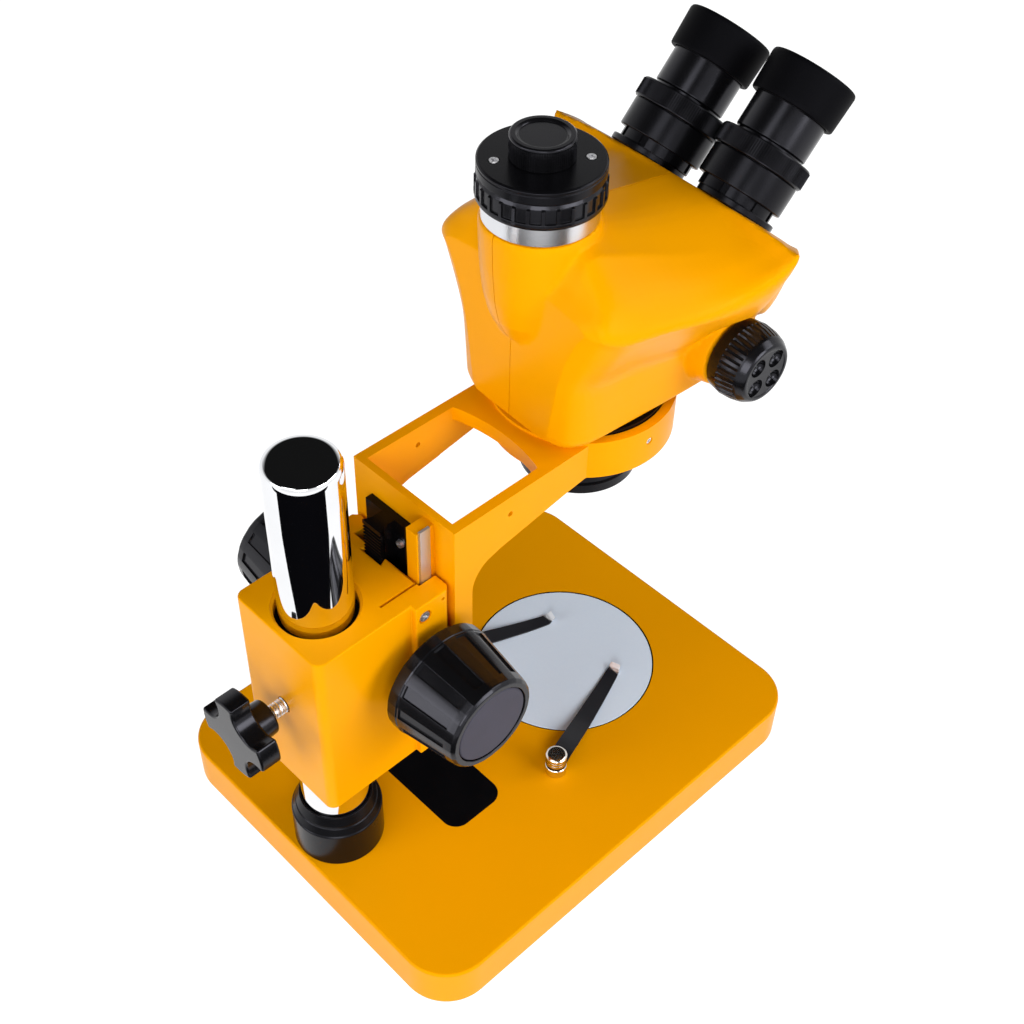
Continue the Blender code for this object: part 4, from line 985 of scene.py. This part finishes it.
def seen_rays(net):
    """1 for camera, glossy and transmission rays, else 0."""
    camera, glossy, transmission = (net.node("ShaderNodeLightPath", out=f"Is {kind} Ray")
                                    for kind in ("Camera", "Glossy", "Transmission"))
    return camera.larger(glossy).larger(transmission)


def backdrop(sizes):
    """White to the camera, a white horizon under a dim ceiling in reflections, even fill elsewhere."""
    world = bpy.data.worlds.new("studio")
    bpy.context.scene.world = world
    world.use_nodes = True
    net = Net(world.node_tree)
    horizon, above = 0.40, 0.65
    ceiling = net.part(net.coordinates("Generated"), "Z").ramp(horizon, above, 1.0, sizes.ceiling)
    light = seen_rays(net).ramp(0.0, 1.0, sizes.fill_light, ceiling)
    white = net.tree.nodes["Background"]
    net.fill(white, "Color", (1.0, 1.0, 1.0))
    net.fill(white, "Strength", net.node("ShaderNodeLightPath", out="Is Camera Ray").larger(light))


def paper(sizes):
    """Floor that glows white to the camera and in reflections, but keeps the shadow."""
    paint = Paint("floor_paper", 0.9, colour=(0.90, 0.90, 0.90))
    glow = paint.node("ShaderNodeEmission", inputs={"Strength": sizes.floor_white})
    blend = paint.node("ShaderNodeMixShader", inputs={
        0: seen_rays(paint) * sizes.floor_glow, 1: Sock(paint, paint.shader.outputs[0]), 2: glow})
    paint.fill(paint.tree.nodes["Material Output"], "Surface", blend)
    return paint.mat


def dark_card():
    """A black wedge on the floor, seen only in the chrome: its edges are the column's stripes.

    The edge holds distances from the column in metres, each with an angle to either side.
    """
    black = Paint("black_card", 0.9, colour=(0.003, 0.003, 0.004), Specular_IOR_Level=0.0)
    edge = [(0.13, 18), (0.155, 30), (0.20, 52), (0.25, 66), (1.2, 70)]
    edge += [(reach, -aside) for reach, aside in reversed(edge)]
    middle, lift = 135, 0.0006
    corners = [(*polar(reach, middle + aside, 0, (COL_Y + Y_SHIFT) * MM), lift) for reach, aside in edge]
    obj = sheet("dark_card", corners, black.mat)
    obj.visible_camera = obj.visible_diffuse = obj.visible_shadow = obj.visible_transmission = False


def lamp(name, spot, power):
    """A soft round lamp, aimed a little above the middle of the base."""
    data = bpy.data.lights.new(name, "AREA")
    data.shape, data.size, data.energy = "DISK", 0.9, power
    obj = linked(name, data)
    obj.location = spot
    obj.rotation_euler = (Vector((0, 0, 0.15)) - Vector(spot)).to_track_quat("-Z", "Y").to_euler()


def camera(lens):
    data = bpy.data.cameras.new("camera")
    data.lens, data.sensor_width = lens, 36.0
    azimuth, tilt, roll = (math.radians(angle) for angle in CAMERA_AIM)
    reach = math.cos(tilt)
    forward = Vector((math.cos(azimuth) * reach, math.sin(azimuth) * reach, -math.sin(tilt)))
    level_right = forward.cross(Vector((0, 0, 1))).normalized()
    level_up = level_right.cross(forward)
    right = math.cos(roll) * level_right + math.sin(roll) * level_up
    up = math.cos(roll) * level_up - math.sin(roll) * level_right
    obj = linked("camera", data)
    place = Matrix.Translation((STAND @ Vector(CAMERA_AT)) * MM)
    obj.matrix_world = place @ Matrix((right, up, -forward)).transposed().to_4x4()
    bpy.context.scene.camera = obj


def studio(sizes):
    bpy.context.scene.view_settings.view_transform = "Standard"
    backdrop(sizes)
    sheet("floor", [(-6, -6, 0), (6, -6, 0), (6, 6, 0), (-6, 6, 0)], paper(sizes))
    dark_card()
    lamp("key_soft", (-0.25, 1.35, 1.35), sizes.key_power)
    lamp("side_soft", (-1.5, -0.3, 0.9), sizes.side_power)
    lamp("front_soft", (-1.1, 1.1, 0.75), sizes.front_power)
    lamp("corner_soft", (-1.0, -1.1, 1.2), sizes.corner_power)
    lamp("rear_soft", (0.4, 1.6, 0.6), sizes.rear_power)
    camera(sizes.lens)


# Sizes and colours a user would change
def number(label, about, default, **limits):
    return bpy.props.FloatProperty(name=label, description=about, default=default, **limits)


def count(label, about, default, **limits):
    return bpy.props.IntProperty(name=label, description=about, default=default, min=3, **limits)


class MicroscopeSizes(bpy.types.PropertyGroup):
    enamel_colour: bpy.props.FloatVectorProperty(
        name="Enamel", description="Colour of the painted castings", subtype="COLOR", size=3, min=0, max=1,
        default=(0.88, 0.35, 0.0))
    enamel_roughness: number("Enamel roughness", "How dull the paint is", 0.33, min=0.05, max=1.0)
    base_width: number("Base width", "Width of the base, in mm", 200.0)
    base_length: number("Base length", "Length of the base, in mm", 250.0)
    base_corner: number("Base corner", "Corner radius, in mm", 23.4)
    knob_flats: count("Grip flats", "Flats round a focus knob", 14)
    knob_lobes: count("Clamp lobes", "Lobes of the clamp knob", 4, max=6)
    port_notches: count("Notches", "Notches round the port ring", 28)
    zoom_ribs: count("Zoom ribs", "Ribs round a zoom knob", 40)
    ring_ridges: count("Ring ridges", "Ridges round a focusing ring", 120)
    housing_voxel: number("Housing detail", "Mesh size of the housing, in mm", 0.9, min=0.5)


class StudioSizes(bpy.types.PropertyGroup):
    fill_light: number("Fill", "Strength of the light all round", 0.02)
    ceiling: number("Ceiling", "Strength of the ceiling in reflections", 0.008, min=0)
    floor_white: number("Floor white", "Strength of the floor's white", 1.25, min=0)
    floor_glow: number("Floor glow", "Share of plain white in the floor", 0.82, min=0, max=1,
                       subtype="FACTOR")
    key_power: number("Key", "Power of the lamp behind the column", 8.1, unit="POWER")
    side_power: number("Side", "Power of the lamp on the knob side", 14.5, unit="POWER")
    front_power: number("Front", "Power of the lamp by the camera", 12.9, unit="POWER")
    corner_power: number("Corner", "Power of the lamp past the eyepieces", 8.3, unit="POWER")
    rear_power: number("Rear", "Power of the low lamp behind", 9.5, unit="POWER")
    lens: number("Lens", "Focal length in mm", 53.27)


class MICROSCOPE_OT_finishes(bpy.types.Operator):
    """Make the materials and the node trees that later pieces use"""
    bl_idname = "microscope.finishes"
    bl_label = "Finishes"

    def execute(self, context):
        make_paints(context.scene.microscope_sizes)
        TREES.update(ribs=rib_tree(), thread=thread_tree(), screw=screw_tree())
        return {"FINISHED"}


class MICROSCOPE_OT_base(bpy.types.Operator):
    """Base casting, feet, stage disc, label, column and flange"""
    bl_idname = "microscope.base"
    bl_label = "Base and column"

    def execute(self, context):
        sizes = context.scene.microscope_sizes
        base_casting(sizes.base_width, sizes.base_length, sizes.base_corner)
        base_parts()
        return {"FINISHED"}


class MICROSCOPE_OT_clips(bpy.types.Operator):
    """Two stage clips"""
    bl_idname = "microscope.clips"
    bl_label = "Stage clips"

    def execute(self, context):
        stage_clips()
        return {"FINISHED"}


class MICROSCOPE_OT_block(bpy.types.Operator):
    """Focus block, its clamp and its two large knobs"""
    bl_idname = "microscope.block"
    bl_label = "Focus block"

    def execute(self, context):
        block_casting()
        sizes = context.scene.microscope_sizes
        clamp(sizes.knob_lobes)
        focus_knobs(sizes.knob_flats)
        return {"FINISHED"}


class MICROSCOPE_OT_arm(bpy.types.Operator):
    """Arm with its ring, rack slide and screws"""
    bl_idname = "microscope.arm"
    bl_label = "Arm"

    def execute(self, context):
        arm_casting()
        arm_parts()
        return {"FINISHED"}


class MICROSCOPE_OT_head(bpy.types.Operator):
    """Head housing and objective"""
    bl_idname = "microscope.head"
    bl_label = "Head housing"

    def execute(self, context):
        head_housing(context.scene.microscope_sizes.housing_voxel)
        objective()
        return {"FINISHED"}


class MICROSCOPE_OT_port(bpy.types.Operator):
    """Camera port with its ring, plate and cap"""
    bl_idname = "microscope.port"
    bl_label = "Camera port"

    def execute(self, context):
        camera_port(context.scene.microscope_sizes.port_notches)
        return {"FINISHED"}


class MICROSCOPE_OT_zoom(bpy.types.Operator):
    """Zoom knobs"""
    bl_idname = "microscope.zoom"
    bl_label = "Zoom knobs"

    def execute(self, context):
        zoom_knobs(context.scene.microscope_sizes.zoom_ribs)
        return {"FINISHED"}


class MICROSCOPE_OT_eyes(bpy.types.Operator):
    """Eyepieces with their focusing rings and cups"""
    bl_idname = "microscope.eyes"
    bl_label = "Eyepieces"

    def execute(self, context):
        eyepieces(context.scene.microscope_sizes.ring_ridges)
        return {"FINISHED"}


class MICROSCOPE_OT_studio(bpy.types.Operator):
    """Floor, lamps, backdrop and camera"""
    bl_idname = "microscope.studio"
    bl_label = "Studio"

    def execute(self, context):
        studio(context.scene.microscope_studio)
        return {"FINISHED"}


STEPS = (MICROSCOPE_OT_finishes, MICROSCOPE_OT_base, MICROSCOPE_OT_clips, MICROSCOPE_OT_block,
         MICROSCOPE_OT_arm, MICROSCOPE_OT_head, MICROSCOPE_OT_port, MICROSCOPE_OT_zoom, MICROSCOPE_OT_eyes,
         MICROSCOPE_OT_studio)


class MICROSCOPE_PT_panel(bpy.types.Panel):
    """Lists the steps that build the microscope"""
    bl_label = "Stereo microscope"
    bl_idname = "MICROSCOPE_PT_panel"
    bl_space_type = "VIEW_3D"
    bl_region_type = "UI"
    bl_category = "Microscope"

    def draw(self, context):
        for group in (context.scene.microscope_sizes, context.scene.microscope_studio):
            for prop in group.bl_rna.properties:
                if prop.identifier not in ("rna_type", "name"):
                    self.layout.prop(group, prop.identifier)
        for step in STEPS:
            self.layout.operator(step.bl_idname)


CLASSES = (MicroscopeSizes, StudioSizes) + STEPS + (MICROSCOPE_PT_panel,)


def register():
    for cls in CLASSES:
        bpy.utils.register_class(cls)
    bpy.types.Scene.microscope_sizes = bpy.props.PointerProperty(type=MicroscopeSizes)
    bpy.types.Scene.microscope_studio = bpy.props.PointerProperty(type=StudioSizes)


def unregister():
    del bpy.types.Scene.microscope_sizes
    del bpy.types.Scene.microscope_studio
    for cls in reversed(CLASSES):
        bpy.utils.unregister_class(cls)


def main():
    register()
    for step in STEPS:
        group, name = step.bl_idname.split(".")
        getattr(getattr(bpy.ops, group), name)()


if __name__ == "__main__":
    main()
